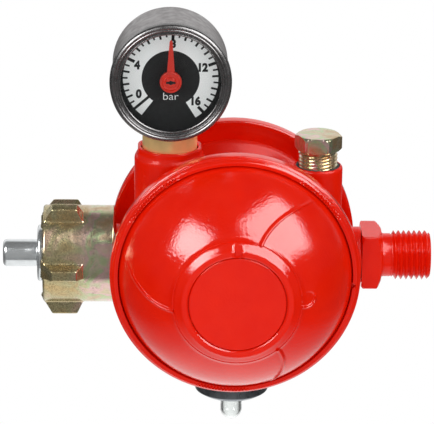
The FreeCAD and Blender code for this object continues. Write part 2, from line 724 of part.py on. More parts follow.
def gear_points(teeth, count, gear_module, backlash, middle):
    """Outline points of count teeth centred on the angle middle, in radians."""
    flank = involute_tooth(teeth, gear_module, backlash)
    points = []
    for k in range(count):
        centre = middle + (k - (count - 1) / 2) * 2 * math.pi / teeth
        for radius, half in flank:
            points.append(V(radius * math.cos(centre - half), 0, radius * math.sin(centre - half)))
        for radius, half in reversed(flank):
            points.append(V(radius * math.cos(centre + half), 0, radius * math.sin(centre + half)))
    return points


def plate_from(points, thickness):
    """A flat plate with this outline in the XZ plane, thickness along +Y."""
    face = Part.Face(Part.makePolygon(points + [points[0]]))
    return face.extrude(Y * thickness)


def gauge_case():
    """Gauge case, bezel, window and dial."""
    case = [
        (-case_front, case_r - 1.0), (-case_front, case_r), (case_back - 2.0, case_r, -2.0),
        (case_back, case_r - 2.0), (case_back, 0), (case_back - 1.2, 0), (case_back - 1.2, case_r - 3.0),
        (case_back - 3.0, case_r - 1.0),
    ]
    hole = rod("case_hole", socket_shank_r + 0.1, 8.0, -Z, 0, 0, -12.0)
    keep(cut("case_cut", turned("case_turned", "Y", case), hole), "gauge_case", -gauge_x, 0, gauge_z)
    face = -gauge_face
    bezel = [
        (face, window_r + 1.3), (face, bezel_r - 1.3, -1.3), (face + 1.3, bezel_r), (face + 3.6, bezel_r),
        (face + 3.6, case_r + 0.03), (face + 1.4, case_r + 0.03), (face + 1.4, window_r),
        (face + 1.0, window_r),
    ]
    keep(turned("bezel_turned", "Y", bezel), "gauge_bezel", -gauge_x, 0, gauge_z)
    lens_y = face + 1.55
    lens = turned("lens_turned", "Y", ring(lens_y, lens_y + 0.9, 0.0, case_r - 1.1))
    keep(lens, "gauge_lens", -gauge_x, 0, gauge_z)
    dial = turned("dial_turned", "Y", ring(-dial_y, -dial_y + 0.4, 1.0, case_r - 1.1))
    keep(dial, "gauge_dial", -gauge_x, 0, gauge_z)


def gauge_socket():
    """Brass socket: collar in the housing cup, threaded shank below, holder for the tube above."""
    collar_low = cup_floor - gauge_z + 0.65
    shank_low = size(17.0) - gauge_z
    collar = rod("socket_collar", socket_r, size(-13.0) - collar_low, Z, 0, 0, collar_low)
    clear = rod("socket_clear", case_r + 0.03, 30.0, Y, 0, -15.0)
    shank = rod("socket_shank", socket_shank_r, size(-12.6) - shank_low, Z, 0, 0, shank_low)
    holder = block("socket_holder", 8.0, 6.0, 3.1, -4.0, 1.0, -15.0)
    drill = rod("socket_drill", 1.2, size(-14.0) - shank_low, Z, 0, 0, shank_low - 1.0)
    inner = common("socket_inner", holder, rod("socket_limit", case_r - 1.05, 30.0, Y, 0, -15.0))
    solid = fused("socket_solid", cut("socket_outer", collar, clear), shank, inner)
    keep(cut("socket_cut", solid, drill), "gauge_socket", -gauge_x, 0, gauge_z)
    seal = ring(cup_floor - gauge_z + 0.02, cup_floor - gauge_z + 0.6, socket_shank_r + 0.1, cup_r - 0.1)
    keep(turned("gauge_seal_ring", "Z", seal), "gauge_seal", -gauge_x, 0, gauge_z)


def gauge_gears():
    """Toothed sector with its tail pin, and the pinion cut on the pointer's arbor."""
    step = module.value
    pinion = plate_from(gear_points(PINION_TEETH, PINION_TEETH, step, 0.05, math.pi / 2), 2.4)
    pinion.translate(Y * 0.6)
    front = -dial_y.value - 1.2
    shaft = Part.makeCylinder(arbor_r.value, 5.0 - front, V(0, front, 0), Y)
    shape_piece("gauge_arbor", pinion.fuse(shaft), -gauge_x, 0, gauge_z)

    root = SECTOR_TEETH * step / 2 - 1.4
    half = SECTOR_SHOWN * math.pi / SECTOR_TEETH
    rim = gear_points(SECTOR_TEETH, SECTOR_SHOWN, step, 0.05, math.pi / 2)
    rim += [V(root * math.sin(half * i / 4), 0, root * math.cos(half * i / 4)) for i in range(-4, 5)]
    spoke = [V(-1.0, 0, 0), V(1.0, 0, 0), V(1.0, 0, root + 0.5), V(-1.0, 0, root + 0.5)]
    tail = V(tail_arm.value * math.cos(TAIL_ANGLE), 0, tail_arm.value * math.sin(TAIL_ANGLE))
    side = V(-0.7 * math.sin(TAIL_ANGLE), 0, 0.7 * math.cos(TAIL_ANGLE))
    arm = [side * -1, tail * 1.12 - side, tail * 1.12 + side, side]
    hub = Part.makeCylinder(1.0, 1.0, V(0, 0, 0), Y)
    sector = plate_from(rim, 1.0).fuse([plate_from(spoke, 1.0), plate_from(arm, 1.0), hub])
    sector.translate(Y * 1.3)
    shaft = Part.makeCylinder(arbor_r.value, 9.4, V(0, -4.5, 0), Y)
    tail_pin = Part.makeCylinder(0.4, 1.3, tail + Y * 0.1, Y)
    sector = sector.fuse([shaft, tail_pin]).removeSplitter()
    shape_piece("gauge_sector", sector, -gauge_x, 0, gauge_z - gear_distance)


def gauge_frame():
    """Two plates and three pillars for the arbor and the sector, with room for the sector's tail to swing."""
    low = -gear_distance
    plates = []
    for name, y in (("plate_front", -4.6), ("plate_back", 4.2)):
        blank = block(name, 7.2, 0.8, gear_distance + 5.1, -3.6, y, low - 1.08)
        arbor_hole = rod(name + "_arbor", arbor_r + fit_gap, 4.0, Y, 0, y - 1.0)
        sector_hole = rod(name + "_sector", arbor_r + fit_gap, 4.0, Y, 0, y - 1.0, low)
        plates.append(cut(name + "_drilled", blank, arbor_hole, sector_hole))
    corners = [(-2.9, 2.9), (2.9, 2.9), (-2.9, low - 0.3)]
    pillars = [rod(f"pillar_{i}", 0.6, 8.2, Y, x, -3.9, z) for i, (x, z) in enumerate(corners)]
    keep(fused("movement", *plates, *pillars), "gauge_movement_frame", -gauge_x, 0, gauge_z)


def bourdon_tube():
    """Flat tube bent round the movement from the socket to a tip block, and the link from tip to sector."""
    section = doc.addObject("Part::Ellipse", "tube_section")
    bind(section, MajorRadius=2.2, MinorRadius=0.55)
    place(section, tube_bend, 4.0, 0, App.Rotation(Z, 90))
    tube = doc.addObject("Part::Revolution", "tube")
    tube.Source = section
    tube.Axis = -Y
    tube.Angle = TUBE_SWEEP
    tube.Solid = True
    place(tube, rotation=App.Rotation(Y, -TUBE_TIP))
    tip = block("tube_tip", 2.4, 2.8, 2.6, tube_bend - 1.7, 2.6, -3.6)
    tip_pin = rod("tube_tip_pin", 0.4, 2.6, Y, tube_bend - 0.7, 0.1, -2.6)
    keep(fused("tube_joined", tube, tip, tip_pin), "gauge_bourdon_tube", -gauge_x, 0, gauge_z)

    reach_x, reach_z = tail_arm.value * math.cos(TAIL_ANGLE), tail_arm.value * math.sin(TAIL_ANGLE)
    start = V(reach_x, 0, reach_z - gear_distance.value)
    end = V(tube_bend.value - 0.7, 0, -2.6)
    along = (end - start).normalize()
    side = V(-along.z, 0, along.x) * 0.6
    bar = plate_from([start - side, end - side, end + side, start + side], 0.8)
    bar = bar.fuse([Part.makeCylinder(0.9, 0.8, start, Y), Part.makeCylinder(0.9, 0.8, end, Y)])
    bar = bar.cut([Part.makeCylinder(0.45, 0.8, start, Y), Part.makeCylinder(0.45, 0.8, end, Y)])
    bar.translate(Y * 0.2)
    shape_piece("gauge_link", bar, -gauge_x, 0, gauge_z)


def pointer():
    """Red pointer: hub with a slot, tapered blade and short tail inside the hub."""
    face = -dial_y - 1.3
    hub = rod("pointer_hub", 3.05, 0.9, Y, 0, face)
    slot = block("pointer_slot", 4.4, 0.4, 0.6, -2.2, face - 0.1, -0.3)
    bore = rod("pointer_bore", arbor_r + 0.02, 3.0, Y, 0, face - 1.0)
    blade = padded("pointer_blade", "XZ_Plane", [[(-1.35, 1.5), (1.35, 1.5), (0.4, 12.2), (-0.4, 12.2)]], 0.5)
    place(blade, 0, face + 0.6, 0)
    solid = fused("pointer_solid", hub, blade)
    keep(cut("pointer_cut", solid, slot, bore), "gauge_pointer", -gauge_x, 0, gauge_z)


# ---------------------------------------------------------------- build, check and write

housing()
stages()
inlet()
outlet()
test_plug()
shutoff()
gauge_case()
gauge_socket()
gauge_gears()
gauge_frame()
bourdon_tube()
pointer()
doc.recompute()

failed = [(o.Name, o.getStatusString()) for o in doc.Objects if "Invalid" in o.State or "Error" in o.State]
if failed:
    raise SystemExit(f"objects that did not build: {failed}")
os.makedirs("parts", exist_ok=True)
for old in os.listdir("parts"):
    os.remove(os.path.join("parts", old))
for name, obj in nodes.items():
    if obj.Shape.isNull() or not obj.Shape.isValid():
        raise SystemExit(f"{name} has no valid shape")
    obj.Shape.exportStep(os.path.join("parts", name + ".step"))
print(len(nodes), "pieces written")
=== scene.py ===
import json
import math

import bmesh
import bpy
import numpy as np
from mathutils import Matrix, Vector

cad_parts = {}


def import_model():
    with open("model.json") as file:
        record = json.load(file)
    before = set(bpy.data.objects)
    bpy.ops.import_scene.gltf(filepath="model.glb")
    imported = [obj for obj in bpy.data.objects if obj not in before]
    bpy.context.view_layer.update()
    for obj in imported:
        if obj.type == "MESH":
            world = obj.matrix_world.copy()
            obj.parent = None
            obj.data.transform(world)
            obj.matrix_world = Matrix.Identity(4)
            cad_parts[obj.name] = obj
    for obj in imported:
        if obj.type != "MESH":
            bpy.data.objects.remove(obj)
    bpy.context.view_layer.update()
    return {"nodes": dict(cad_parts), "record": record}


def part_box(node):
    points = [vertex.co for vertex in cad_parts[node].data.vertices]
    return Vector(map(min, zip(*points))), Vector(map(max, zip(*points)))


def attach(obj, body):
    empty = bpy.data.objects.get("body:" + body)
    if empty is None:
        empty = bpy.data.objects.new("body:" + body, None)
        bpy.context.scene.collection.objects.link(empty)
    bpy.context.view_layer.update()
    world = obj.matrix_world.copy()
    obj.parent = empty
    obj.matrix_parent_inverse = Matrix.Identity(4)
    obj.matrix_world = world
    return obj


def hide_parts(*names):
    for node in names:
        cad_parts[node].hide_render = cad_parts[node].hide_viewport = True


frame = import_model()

import openvdb
from mathutils import Matrix, Vector

# Sizes are in millimetres and metres; MM turns the first into the second.
MM = 0.001
X, Y, Z = Vector((1, 0, 0)), Vector((0, 1, 0)), Vector((0, 0, 1))
AXES = {"X": (X, Y, Z), "Y": (Y, Z, X), "Z": (Z, X, Y)}


# ---------------------------------------------------------------- places taken from the frame

def middle(node):
    low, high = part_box(node)
    return (low + high) / 2


CENTRE = Vector((middle("second_stage_cover").x, 0, 0))
GAUGE = Vector((middle("gauge_bezel").x, 0, middle("gauge_bezel").z))
PLUG = Vector((middle("test_plug").x, 0, 0))
GAUGE_X = (GAUGE.x - CENTRE.x) / MM
GAUGE_Z = GAUGE.z / MM
PLUG_X = (PLUG.x - CENTRE.x) / MM


# ---------------------------------------------------------------- mesh tools

def outline(corners, steps=4):
    """Points of an outline; a corner (x, y, radius) is rounded."""
    points = []
    for i, corner in enumerate(corners):
        here = Vector(corner[:2])
        radius = corner[2] if len(corner) > 2 else 0.0
        back = Vector(corners[i - 1][:2]) - here
        on = Vector(corners[(i + 1) % len(corners)][:2]) - here
        if radius <= 0 or back.length < 1e-6 or on.length < 1e-6:
            points.append((here.x, here.y))
            continue
        half = back.angle(on) / 2
        trim = min(radius / math.tan(half), 0.49 * back.length, 0.49 * on.length)
        radius = trim * math.tan(half)
        centre = here + (back.normalized() + on.normalized()).normalized() * (radius / math.sin(half))
        first = here + back.normalized() * trim - centre
        last = here + on.normalized() * trim - centre
        for k in range(steps + 1):
            spoke = first.lerp(last, k / steps).normalized() * radius
            points.append((centre.x + spoke.x, centre.y + spoke.y))
    return points


def mesh_object(name, points, faces, sharp=35.0):
    """Object from points in metres; its normals are turned outward and its sharp edges kept."""
    mesh = bpy.data.meshes.new(name)
    mesh.from_pydata([tuple(p) for p in points], [], faces)
    work = bmesh.new()
    work.from_mesh(mesh)
    bmesh.ops.remove_doubles(work, verts=work.verts, dist=1e-7)
    bmesh.ops.recalc_face_normals(work, faces=work.faces)
    work.to_mesh(mesh)
    work.free()
    mesh.shade_smooth()
    mesh.set_sharp_from_angle(angle=math.radians(sharp))
    obj = bpy.data.objects.new(name, mesh)
    bpy.context.scene.collection.objects.link(obj)
    return obj


def skin(name, rows, axis, centre, segments=192, loop=False, sharp=35.0):
    """Surface through rows (place, radius) in millimetres round an axis; both may vary with the angle."""
    along, across, up = AXES[axis]
    angles = np.arange(segments) * (2 * math.pi / segments)
    spokes = np.outer(np.cos(angles), across) + np.outer(np.sin(angles), up)
    points, rings = [], []
    for place, radius in rows:
        start = sum(len(p) for p in points)
        if np.ndim(radius) == 0 and radius == 0:
            points.append(np.array([centre + along * (float(place) * MM)]))
            rings.append([start] * segments)
            continue
        place = np.broadcast_to(place, segments)[:, None]
        radius = np.broadcast_to(radius, segments)[:, None]
        points.append(np.array(centre) + (place * np.array(along) + radius * spokes) * MM)
        rings.append(list(range(start, start + segments)))
    faces = []
    pairs = list(zip(rings, rings[1:])) + ([(rings[-1], rings[0])] if loop else [])
    for a, b in pairs:
        for i in range(segments):
            j = (i + 1) % segments
            corners = [a[i], a[j], b[j], b[i]]
            faces.append(list(dict.fromkeys(corners)))
    return mesh_object(name, np.concatenate(points), [f for f in faces if len(f) > 2], sharp)


def turned(name, corners, axis, centre, segments=192):
    """Solid turned from a closed outline; corners on the axis have radius 0."""
    points = outline(corners)
    on_axis = [i for i, p in enumerate(points) if abs(p[1]) < 1e-9]
    if not on_axis:
        return skin(name, points, axis, centre, segments, loop=True)
    start = on_axis[0] if on_axis[-1] - on_axis[0] > 1 else on_axis[-1]
    return skin(name, points[start:] + points[:start], axis, centre, segments)


# ---------------------------------------------------------------- distance fields, in millimetres

def blend_min(a, b, soft):
    """Union with a fillet."""
    h = np.clip(0.5 + 0.5 * (b - a) / soft, 0, 1)
    return b + (a - b) * h - soft * h * (1 - h)


def blend_max(a, b, soft):
    """Intersection with a rounded edge."""
    return -blend_min(-a, -b, soft)


def bar(p, axis, low, high, radius, at=(0, 0), edge=0.4):
    """Round bar along an axis, with rounded ends; at is its place across the axis."""
    others = [p[i] for i in range(3) if i != axis]
    radial = np.sqrt((others[0] - at[0]) ** 2 + (others[1] - at[1]) ** 2) - radius + edge
    ends = np.abs(p[axis] - (low + high) / 2) - (high - low) / 2 + edge
    outside = np.sqrt(np.maximum(radial, 0) ** 2 + np.maximum(ends, 0) ** 2)
    return np.minimum(np.maximum(radial, ends), 0) + outside - edge


def solid(name, field, low, high, step, sharp=60.0):
    """Mesh of a distance field's surface, with each point moved on to the surface."""
    sides = [np.arange(a, b + step, step) for a, b in zip(low, high)]
    values = field(np.meshgrid(*sides, indexing="ij", sparse=True)).astype(np.float32)
    grid = openvdb.FloatGrid(step * 4)
    grid.copyFromArray(values)
    points, triangles, quads = grid.convertToPolygons(isovalue=0.0, adaptivity=0.0)
    points = points * step + np.array(low)
    nudge = step * 0.25
    for _ in range(2):
        value = field(list(points.T))
        slope = np.stack([
            (field(list((points + d).T)) - field(list((points - d).T))) / (2 * nudge)
            for d in np.eye(3) * nudge
        ], axis=1)
        move = value[:, None] * slope / np.maximum((slope ** 2).sum(1), 0.25)[:, None]
        points = points - np.clip(move, -step / 2, step / 2)
    faces = [tuple(f) for f in triangles.tolist()] + [tuple(f) for f in quads.tolist()]
    return mesh_object(name, np.array(CENTRE) + points * MM, faces, sharp)


# ---------------------------------------------------------------- material tools

def node(tree, kind, inputs=None, **settings):
    """Adds a shader node; an input may be a value or another node's socket."""
    new = tree.nodes.new(kind)
    for key, value in settings.items():
        setattr(new, key, value)
    for key, value in (inputs or {}).items():
        if isinstance(value, bpy.types.NodeSocket):
            tree.links.new(value, new.inputs[key])
        else:
            new.inputs[key].default_value = value
    return new


def start_material(name):
    material = bpy.data.materials.new(name)
    material.use_nodes = True
    tree = material.node_tree
    tree.nodes.clear()
    place = node(tree, "ShaderNodeTexCoord").outputs["Object"]
    return material, tree, place


def end_material(tree, shader):
    node(tree, "ShaderNodeOutputMaterial", {"Surface": shader})


def noise(tree, place, size, detail=2.0, rough=0.5, distortion=0.0):
    """Noise whose features are about size metres across."""
    inputs = {"Vector": place, "Scale": 1.0 / size, "Detail": detail, "Roughness": rough}
    return node(tree, "ShaderNodeTexNoise", {**inputs, "Distortion": distortion}).outputs["Fac"]


def ramp(tree, factor, stops):
    """Colours or greys along a factor."""
    new = node(tree, "ShaderNodeValToRGB", {"Fac": factor})
    band = new.color_ramp
    while len(band.elements) < len(stops):
        band.elements.new(0.5)
    for element, (position, colour) in zip(band.elements, stops):
        element.position = position
        element.color = (colour, colour, colour, 1) if isinstance(colour, float) else (*colour, 1)
    return new.outputs["Color"]


def mixed(tree, factor, first, second):
    """Colour mix of two sockets or colours."""
    new = node(tree, "ShaderNodeMix", {"Factor": factor}, data_type="RGBA")
    colour_a, colour_b = new.inputs[6], new.inputs[7]
    for socket, value in ((colour_a, first), (colour_b, second)):
        if isinstance(value, bpy.types.NodeSocket):
            tree.links.new(value, socket)
        else:
            socket.default_value = (*value, 1)
    return new.outputs[2]


def bumped(tree, height, distance, strength=1.0, normal=None):
    inputs = {"Height": height, "Distance": distance, "Strength": strength}
    if normal is not None:
        inputs["Normal"] = normal
    return node(tree, "ShaderNodeBump", inputs).outputs["Normal"]


def maths(tree, operation, first, second=0.0):
    """Result of one operation on two sockets or numbers."""
    return node(tree, "ShaderNodeMath", {0: first, 1: second}, operation=operation).outputs[0]


def remapped(tree, value, **limits):
    """A value mapped from one range to another and kept inside it."""
    named = {key.replace("_", " "): limit for key, limit in limits.items()}
    return node(tree, "ShaderNodeMapRange", {"Value": value, **named}).outputs["Result"]


def part_of(tree, place, axis):
    """One coordinate of a place."""
    return node(tree, "ShaderNodeSeparateXYZ", {"Vector": place}).outputs[axis]


def either(tree, factor, first, second):
    """Mix of two shaders."""
    return node(tree, "ShaderNodeMixShader", {0: factor, 1: first, 2: second}).outputs["Shader"]


def principled(tree, **inputs):
    named = {key.replace("_", " "): value for key, value in inputs.items()}
    for key, value in named.items():
        if isinstance(value, tuple) and len(value) == 3 and ("Color" in key or "Tint" in key):
            named[key] = (*value, 1)
    return node(tree, "ShaderNodeBsdfPrincipled", named).outputs["BSDF"]


def edge_wear(tree):
    """Bright where the surface turns over an edge: partly wear, partly a painted highlight."""
    point = node(tree, "ShaderNodeNewGeometry").outputs["Pointiness"]
    return ramp(tree, point, [(0.55, 0.0), (0.64, 1.0)])


def red_coat(name, rough, specular):
    """Red powder coat with orange peel and a slow drift in tone and gloss."""
    material, tree, place = start_material(name)
    drift = noise(tree, place, 0.009)
    colour = ramp(tree, drift, [(0.3, (0.79, 0.009, 0.0004)), (0.7, (0.84, 0.013, 0.0008))])
    peel = noise(tree, place, 0.0007, 1.0)
    fine = noise(tree, place, 0.0003, 1.0)
    normal = bumped(tree, fine, 0.000014, 1.0, bumped(tree, peel, 0.000055))
    rough = ramp(tree, noise(tree, place, 0.004), [(0.3, rough * 0.85), (0.7, rough * 1.15)])
    shader = principled(tree, Base_Color=colour, Roughness=rough, Normal=normal, IOR=1.5,
                        Specular_IOR_Level=specular)
    end_material(tree, shader)
    return material


def chromate():
    """Yellow-passivated zinc: rough olive brown on the front of the nut, smoother green and pink behind."""
    material, tree, place = start_material("yellow_chromate")
    along = part_of(tree, place, "X")
    front = remapped(tree, along, From_Min=0.0150, From_Max=0.0100)
    drift = noise(tree, place, 0.008, 2.0, 0.55, 0.8)
    rear = ramp(tree, drift, [
        (0.34, (0.56, 0.42, 0.24)), (0.43, (0.64, 0.52, 0.36)), (0.50, (0.50, 0.60, 0.34)),
        (0.58, (0.76, 0.52, 0.50)), (0.68, (0.68, 0.58, 0.40)),
    ])
    brown = ramp(tree, drift, [
        (0.38, (0.56, 0.42, 0.21)), (0.52, (0.53, 0.48, 0.27)), (0.66, (0.70, 0.50, 0.36)),
    ])
    colour = mixed(tree, front, rear, brown)
    speck = noise(tree, place, 0.00045, 3.0, 0.7)
    across_line = remapped(tree, along, From_Min=0.0150, From_Max=0.0172)
    line = ramp(tree, across_line, [(0.0, 0.0), (0.5, 1.0), (1.0, 0.0)])
    amount = remapped(tree, maths(tree, "MAXIMUM", front, line), To_Min=0.25)
    spots = maths(tree, "MULTIPLY", ramp(tree, speck, [(0.46, 0.0), (0.66, 0.6)]), amount)
    colour = mixed(tree, spots, colour, (0.15, 0.11, 0.05))
    # Edges lighter: partly wear, partly a painted highlight.
    colour = mixed(tree, edge_wear(tree), colour, (0.56, 0.47, 0.30))
    polish = noise(tree, place, 0.0015, 3.0)
    even = ramp(tree, polish, [(0.3, 0.16), (0.7, 0.26)])
    coarse = ramp(tree, polish, [(0.3, 0.20), (0.7, 0.30)])
    rough = mixed(tree, front, even, coarse)
    normal = bumped(tree, speck, 0.00003, 0.7)
    shader = principled(tree, Base_Color=colour, Metallic=0.85, Roughness=rough, Normal=normal)
    end_material(tree, shader)
    return material


def metal(name, colour, rough, grain=0.0006, ring_axis=None, depth=0.000006, metallic=1.0):
    """Metal with slight stains, uneven polish and optional turning marks across an axis."""
    material, tree, place = start_material(name)
    dark = tuple(0.84 * c for c in colour)
    stain = ramp(tree, noise(tree, place, 0.004, 3.0), [(0.45, 0.0), (0.75, 1.0)])
    tone = mixed(tree, stain, colour, dark)
    # Edges lighter: partly wear, partly a painted highlight.
    tone = mixed(tree, edge_wear(tree), tone, tuple(min(1.0, 1.25 * c) for c in colour))
    height = noise(tree, place, grain, 3.0)
    if ring_axis is not None:
        marks = {"Vector": place, "Scale": 900.0, "Distortion": 0.6, "Detail": 2.0}
        rings = node(tree, "ShaderNodeTexWave", marks, wave_type="BANDS", bands_direction=ring_axis)
        height = rings.outputs["Fac"]
    polish = ramp(tree, noise(tree, place, 0.002, 3.0), [(0.3, rough * 0.75), (0.7, rough * 1.35)])
    normal = bumped(tree, height, depth)
    shader = principled(tree, Base_Color=tone, Metallic=metallic, Roughness=polish, Normal=normal)
    end_material(tree, shader)
    return material


def plain(name, colour, rough, grain=0.0004, depth=0.00002, spread=0.15, **more):
    """Painted, moulded or printed surface with slight unevenness in colour, gloss and height."""
    material, tree, place = start_material(name)
    low = tuple(c * (1 - spread) for c in colour)
    tone = mixed(tree, noise(tree, place, 0.003, 3.0), low, colour)
    gloss = noise(tree, place, 0.0015, 2.0)
    roughness = ramp(tree, gloss, [(0.3, rough * 0.8), (0.7, min(1.0, rough * 1.25))])
    normal = bumped(tree, noise(tree, place, grain, 2.0), depth)
    end_material(tree, principled(tree, Base_Color=tone, Roughness=roughness, Normal=normal, **more))
    return material


def window_glass():
    """Thin clear window: mostly see-through, with a faint dusty reflection."""
    material, tree, place = start_material("window_glass")
    clear = node(tree, "ShaderNodeBsdfTransparent", {"Color": (0.97, 0.98, 0.98, 1)}).outputs["BSDF"]
    rough = ramp(tree, noise(tree, place, 0.004, 3.0), [(0.3, 0.02), (0.8, 0.06)])
    normal = bumped(tree, noise(tree, place, 0.006, 1.0), 0.00001)
    shine = node(tree, "ShaderNodeBsdfGlossy", {"Roughness": rough, "Normal": normal}).outputs["BSDF"]
    facing = node(tree, "ShaderNodeFresnel", {"IOR": 1.22, "Normal": normal}).outputs["Fac"]
    end_material(tree, either(tree, facing, clear, shine))
    return material


def clear_plastic():
    """Clear moulded cap with faint flow marks."""
    material, tree, place = start_material("clear_plastic")
    normal = bumped(tree, noise(tree, place, 0.0015, 2.0), 0.00002)
    rough = ramp(tree, noise(tree, place, 0.001, 2.0), [(0.3, 0.02), (0.8, 0.08)])
    solid_part = principled(tree, Base_Color=(0.88, 0.90, 0.89), Roughness=rough, Normal=normal,
                            Transmission_Weight=1.0, IOR=1.46)
    clear = node(tree, "ShaderNodeBsdfTransparent").outputs["BSDF"]
    path = node(tree, "ShaderNodeLightPath").outputs["Is Shadow Ray"]
    end_material(tree, either(tree, path, solid_part, clear))
    return material


RED = red_coat("red_powder_coat", 0.12, 0.55)
RED_CAST = red_coat("red_coat_on_casting", 0.24, 0.16)
RED_FITTING = red_coat("red_coat_on_fitting", 0.16, 0.34)
CHROMATE = chromate()
ZINC = metal("zinc_plate", (0.80, 0.83, 0.84), 0.18, ring_axis="X", depth=0.000003, metallic=0.82)
STEEL = metal("plain_steel", (0.52, 0.52, 0.52), 0.34)
SPRING = metal("spring_steel", (0.30, 0.30, 0.31), 0.38)
BRASS = metal("turned_brass", (0.98, 0.69, 0.30), 0.19, ring_axis="Z", metallic=0.42)
BRONZE = metal("sintered_bronze", (0.42, 0.27, 0.14), 0.55, grain=0.0002, depth=0.00005)
BLUED = metal("blued_steel", (0.26, 0.28, 0.30), 0.32, ring_axis="Z")
CASE = metal("case_lacquer", (0.23, 0.215, 0.215), 0.38, grain=0.0004, metallic=0.55)
BEZEL = metal("bezel_black", (0.17, 0.165, 0.165), 0.27, grain=0.0008, depth=0.000004, metallic=0.85)
DIAL_BLACK = plain("dial_black", (0.013, 0.013, 0.014), 0.55, depth=0.000003)
# The white print glows a little: painted light, because the dial sits deep in the case and gets too little
# light.
DIAL_WHITE_GLOWING = plain("dial_white_glowing", (0.80, 0.80, 0.79), 0.60, depth=0.000003, spread=0.03,
                   Emission_Color=(1.0, 1.0, 1.0), Emission_Strength=0.22)
# Pointer red that glows a little: painted light that brightens it.
POINTER_GLOWING = plain("pointer_red", (0.80, 0.03, 0.012), 0.35,
                Emission_Color=(1.0, 0.03, 0.01), Emission_Strength=0.06)
RUBBER = plain("black_rubber", (0.020, 0.020, 0.021), 0.70, grain=0.0003, depth=0.00004)
SIGNAL = plain("indicator_plastic", (0.62, 0.68, 0.64), 0.45)
GLASS = window_glass()
CLEAR = clear_plastic()
BY_SLOT = {
    "red_coat": RED, "gold_chromate": CHROMATE, "zinc_plate": ZINC, "steel": STEEL, "spring_steel": SPRING,
    "brass": BRASS, "case_coat": CASE, "bezel_black": BEZEL, "window": GLASS, "dial_print": DIAL_BLACK,
    "pointer_red": POINTER_GLOWING, "blued_steel": BLUED, "clear_cap": CLEAR, "signal_green": SIGNAL,
    "rubber": RUBBER, "filter_bronze": BRONZE,
}


def settle(obj, slot, body="root", nodes=(), material=None):
    """Gives a piece its material, chosen by its slot unless one is given, and its body, and hides the CAD
    nodes it stands for.
    """
    obj.data.materials.clear()
    obj.data.materials.append(material or BY_SLOT[slot])
    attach(obj, body)
    if nodes:
        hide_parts(*nodes)


# ---------------------------------------------------------------- housing

HUB_R = 21.8
FLANGE_R = 29.5
RIM_R = 35.0
PARTITION = 6.0                 # half the thickness between the two chambers
FLANGE_FACE = 15.0              # from the mid plane to the face that carries a cover
# Outer and chamber radii at heights from the mid plane.
WAIST = [(0, HUB_R), (7.2, HUB_R), (8.6, 22.6), (13.4, 28.9), (14.4, FLANGE_R)]
CHAMBER = [(PARTITION, 18.2), (7.4, 19.6), (12.6, 26.6), (15.6, 29.0)]
# Reach from the centre and radius of each boss.
INLET_BOSS = (33.7, 8.5)
OUTLET_BOSS = (36.0, 8.0)
GAUGE_BOSS = (30.1, 9.9)
PLUG_BOSS = (27.1, 7.0)
SHUTOFF_BOSS = (35.1, 9.6)
BOSS_FILLET = 2.2
# The gauge boss has an eight-sided collar.
COLLAR_FLATS_R, COLLAR_ROUND_R, COLLAR_MIDDLE, COLLAR_HALF = 8.95, 9.35, 22.3, 10.0
GAS_BORE_R = 3.0
FITTING_BORE_R = 6.1


def waist(height):
    """Outer radius of the casting at a height from its mid plane."""
    return np.interp(height, *zip(*WAIST))


def casting_field(p):
    x, y, z = p
    height = np.abs(y)
    radius = np.sqrt(x * x + z * z)
    core = blend_max((radius - waist(height)) * 0.75, height - FLANGE_FACE, 0.3)
    inlet = bar(p, 0, -INLET_BOSS[0], 0, INLET_BOSS[1])
    outlet = bar(p, 0, 0, *OUTLET_BOSS, edge=0.5)
    root = bar(p, 2, 0, *GAUGE_BOSS, (GAUGE_X, 0), edge=1.3)
    u, v = x - GAUGE_X, y
    sides = [np.abs(u), np.abs(v), (np.abs(u) + np.abs(v)) / math.sqrt(2)]
    octagon = np.maximum(np.maximum(sides[0], sides[1]), sides[2]) - COLLAR_FLATS_R
    round_part = np.sqrt(u * u + v * v) - COLLAR_ROUND_R
    collar = blend_max(octagon, round_part, 0.3)
    collar = blend_max(collar, np.abs(z - COLLAR_MIDDLE) - COLLAR_HALF, 0.35)
    test = bar(p, 2, 0, *PLUG_BOSS, (PLUG_X, 0), edge=1.3)
    shutoff_boss = bar(p, 2, -SHUTOFF_BOSS[0], 0, SHUTOFF_BOSS[1], edge=0.5)
    body = core
    for boss in (inlet, outlet, shutoff_boss, test, root):
        body = blend_min(body, boss, BOSS_FILLET)
    body = blend_min(body, collar, 0.9)
    hollow = (radius - np.interp(height, *zip(*CHAMBER))) * 0.75
    body = np.maximum(body, -np.maximum(hollow, PARTITION - height))
    # Bores for the gauge socket, the test plug, the shut-off, the nipple and the outlet, then the gas way.
    cuts = [
        bar(p, 2, 26.0, 40.0, 8.0, (GAUGE_X, 0)), bar(p, 2, 14.0, 30.0, 5.1, (GAUGE_X, 0)),
        bar(p, 2, 12.0, 30.0, 5.6, (PLUG_X, 0)), bar(p, 2, 26.1, 30.0, 6.2, (PLUG_X, 0), edge=0.1),
        bar(p, 2, -40.0, -27.0, 7.6),
        bar(p, 0, -40.0, -22.5, FITTING_BORE_R), bar(p, 0, 25.0, 40.0, FITTING_BORE_R),
        bar(p, 0, -34.0, -11.0, GAS_BORE_R), bar(p, 0, 11.0, 36.0, GAS_BORE_R),
    ]
    for cut in cuts:
        body = blend_max(body, -cut, 0.25)
    return body


def casting():
    step = 0.4
    obj = solid("housing_casting", casting_field, (-34.6, -16.2, -36.6), (37.4, 16.2, 33.6), step)
    settle(obj, "red_coat", nodes=["housing"], material=RED_CAST)


# Crimp marks on the front rim, with angles in degrees from +X towards +Z.
CRIMP_ARCS = [(30, 60), (116, 153), (250, 279)]
CRIMP_COUNT = 224
UPPER_DENT, LOWER_DENT = 0.42, 0.38
RIM_NOTCH, NOTCH_HALF, NOTCH_DEPTH = -4.0, 1.5, 0.9


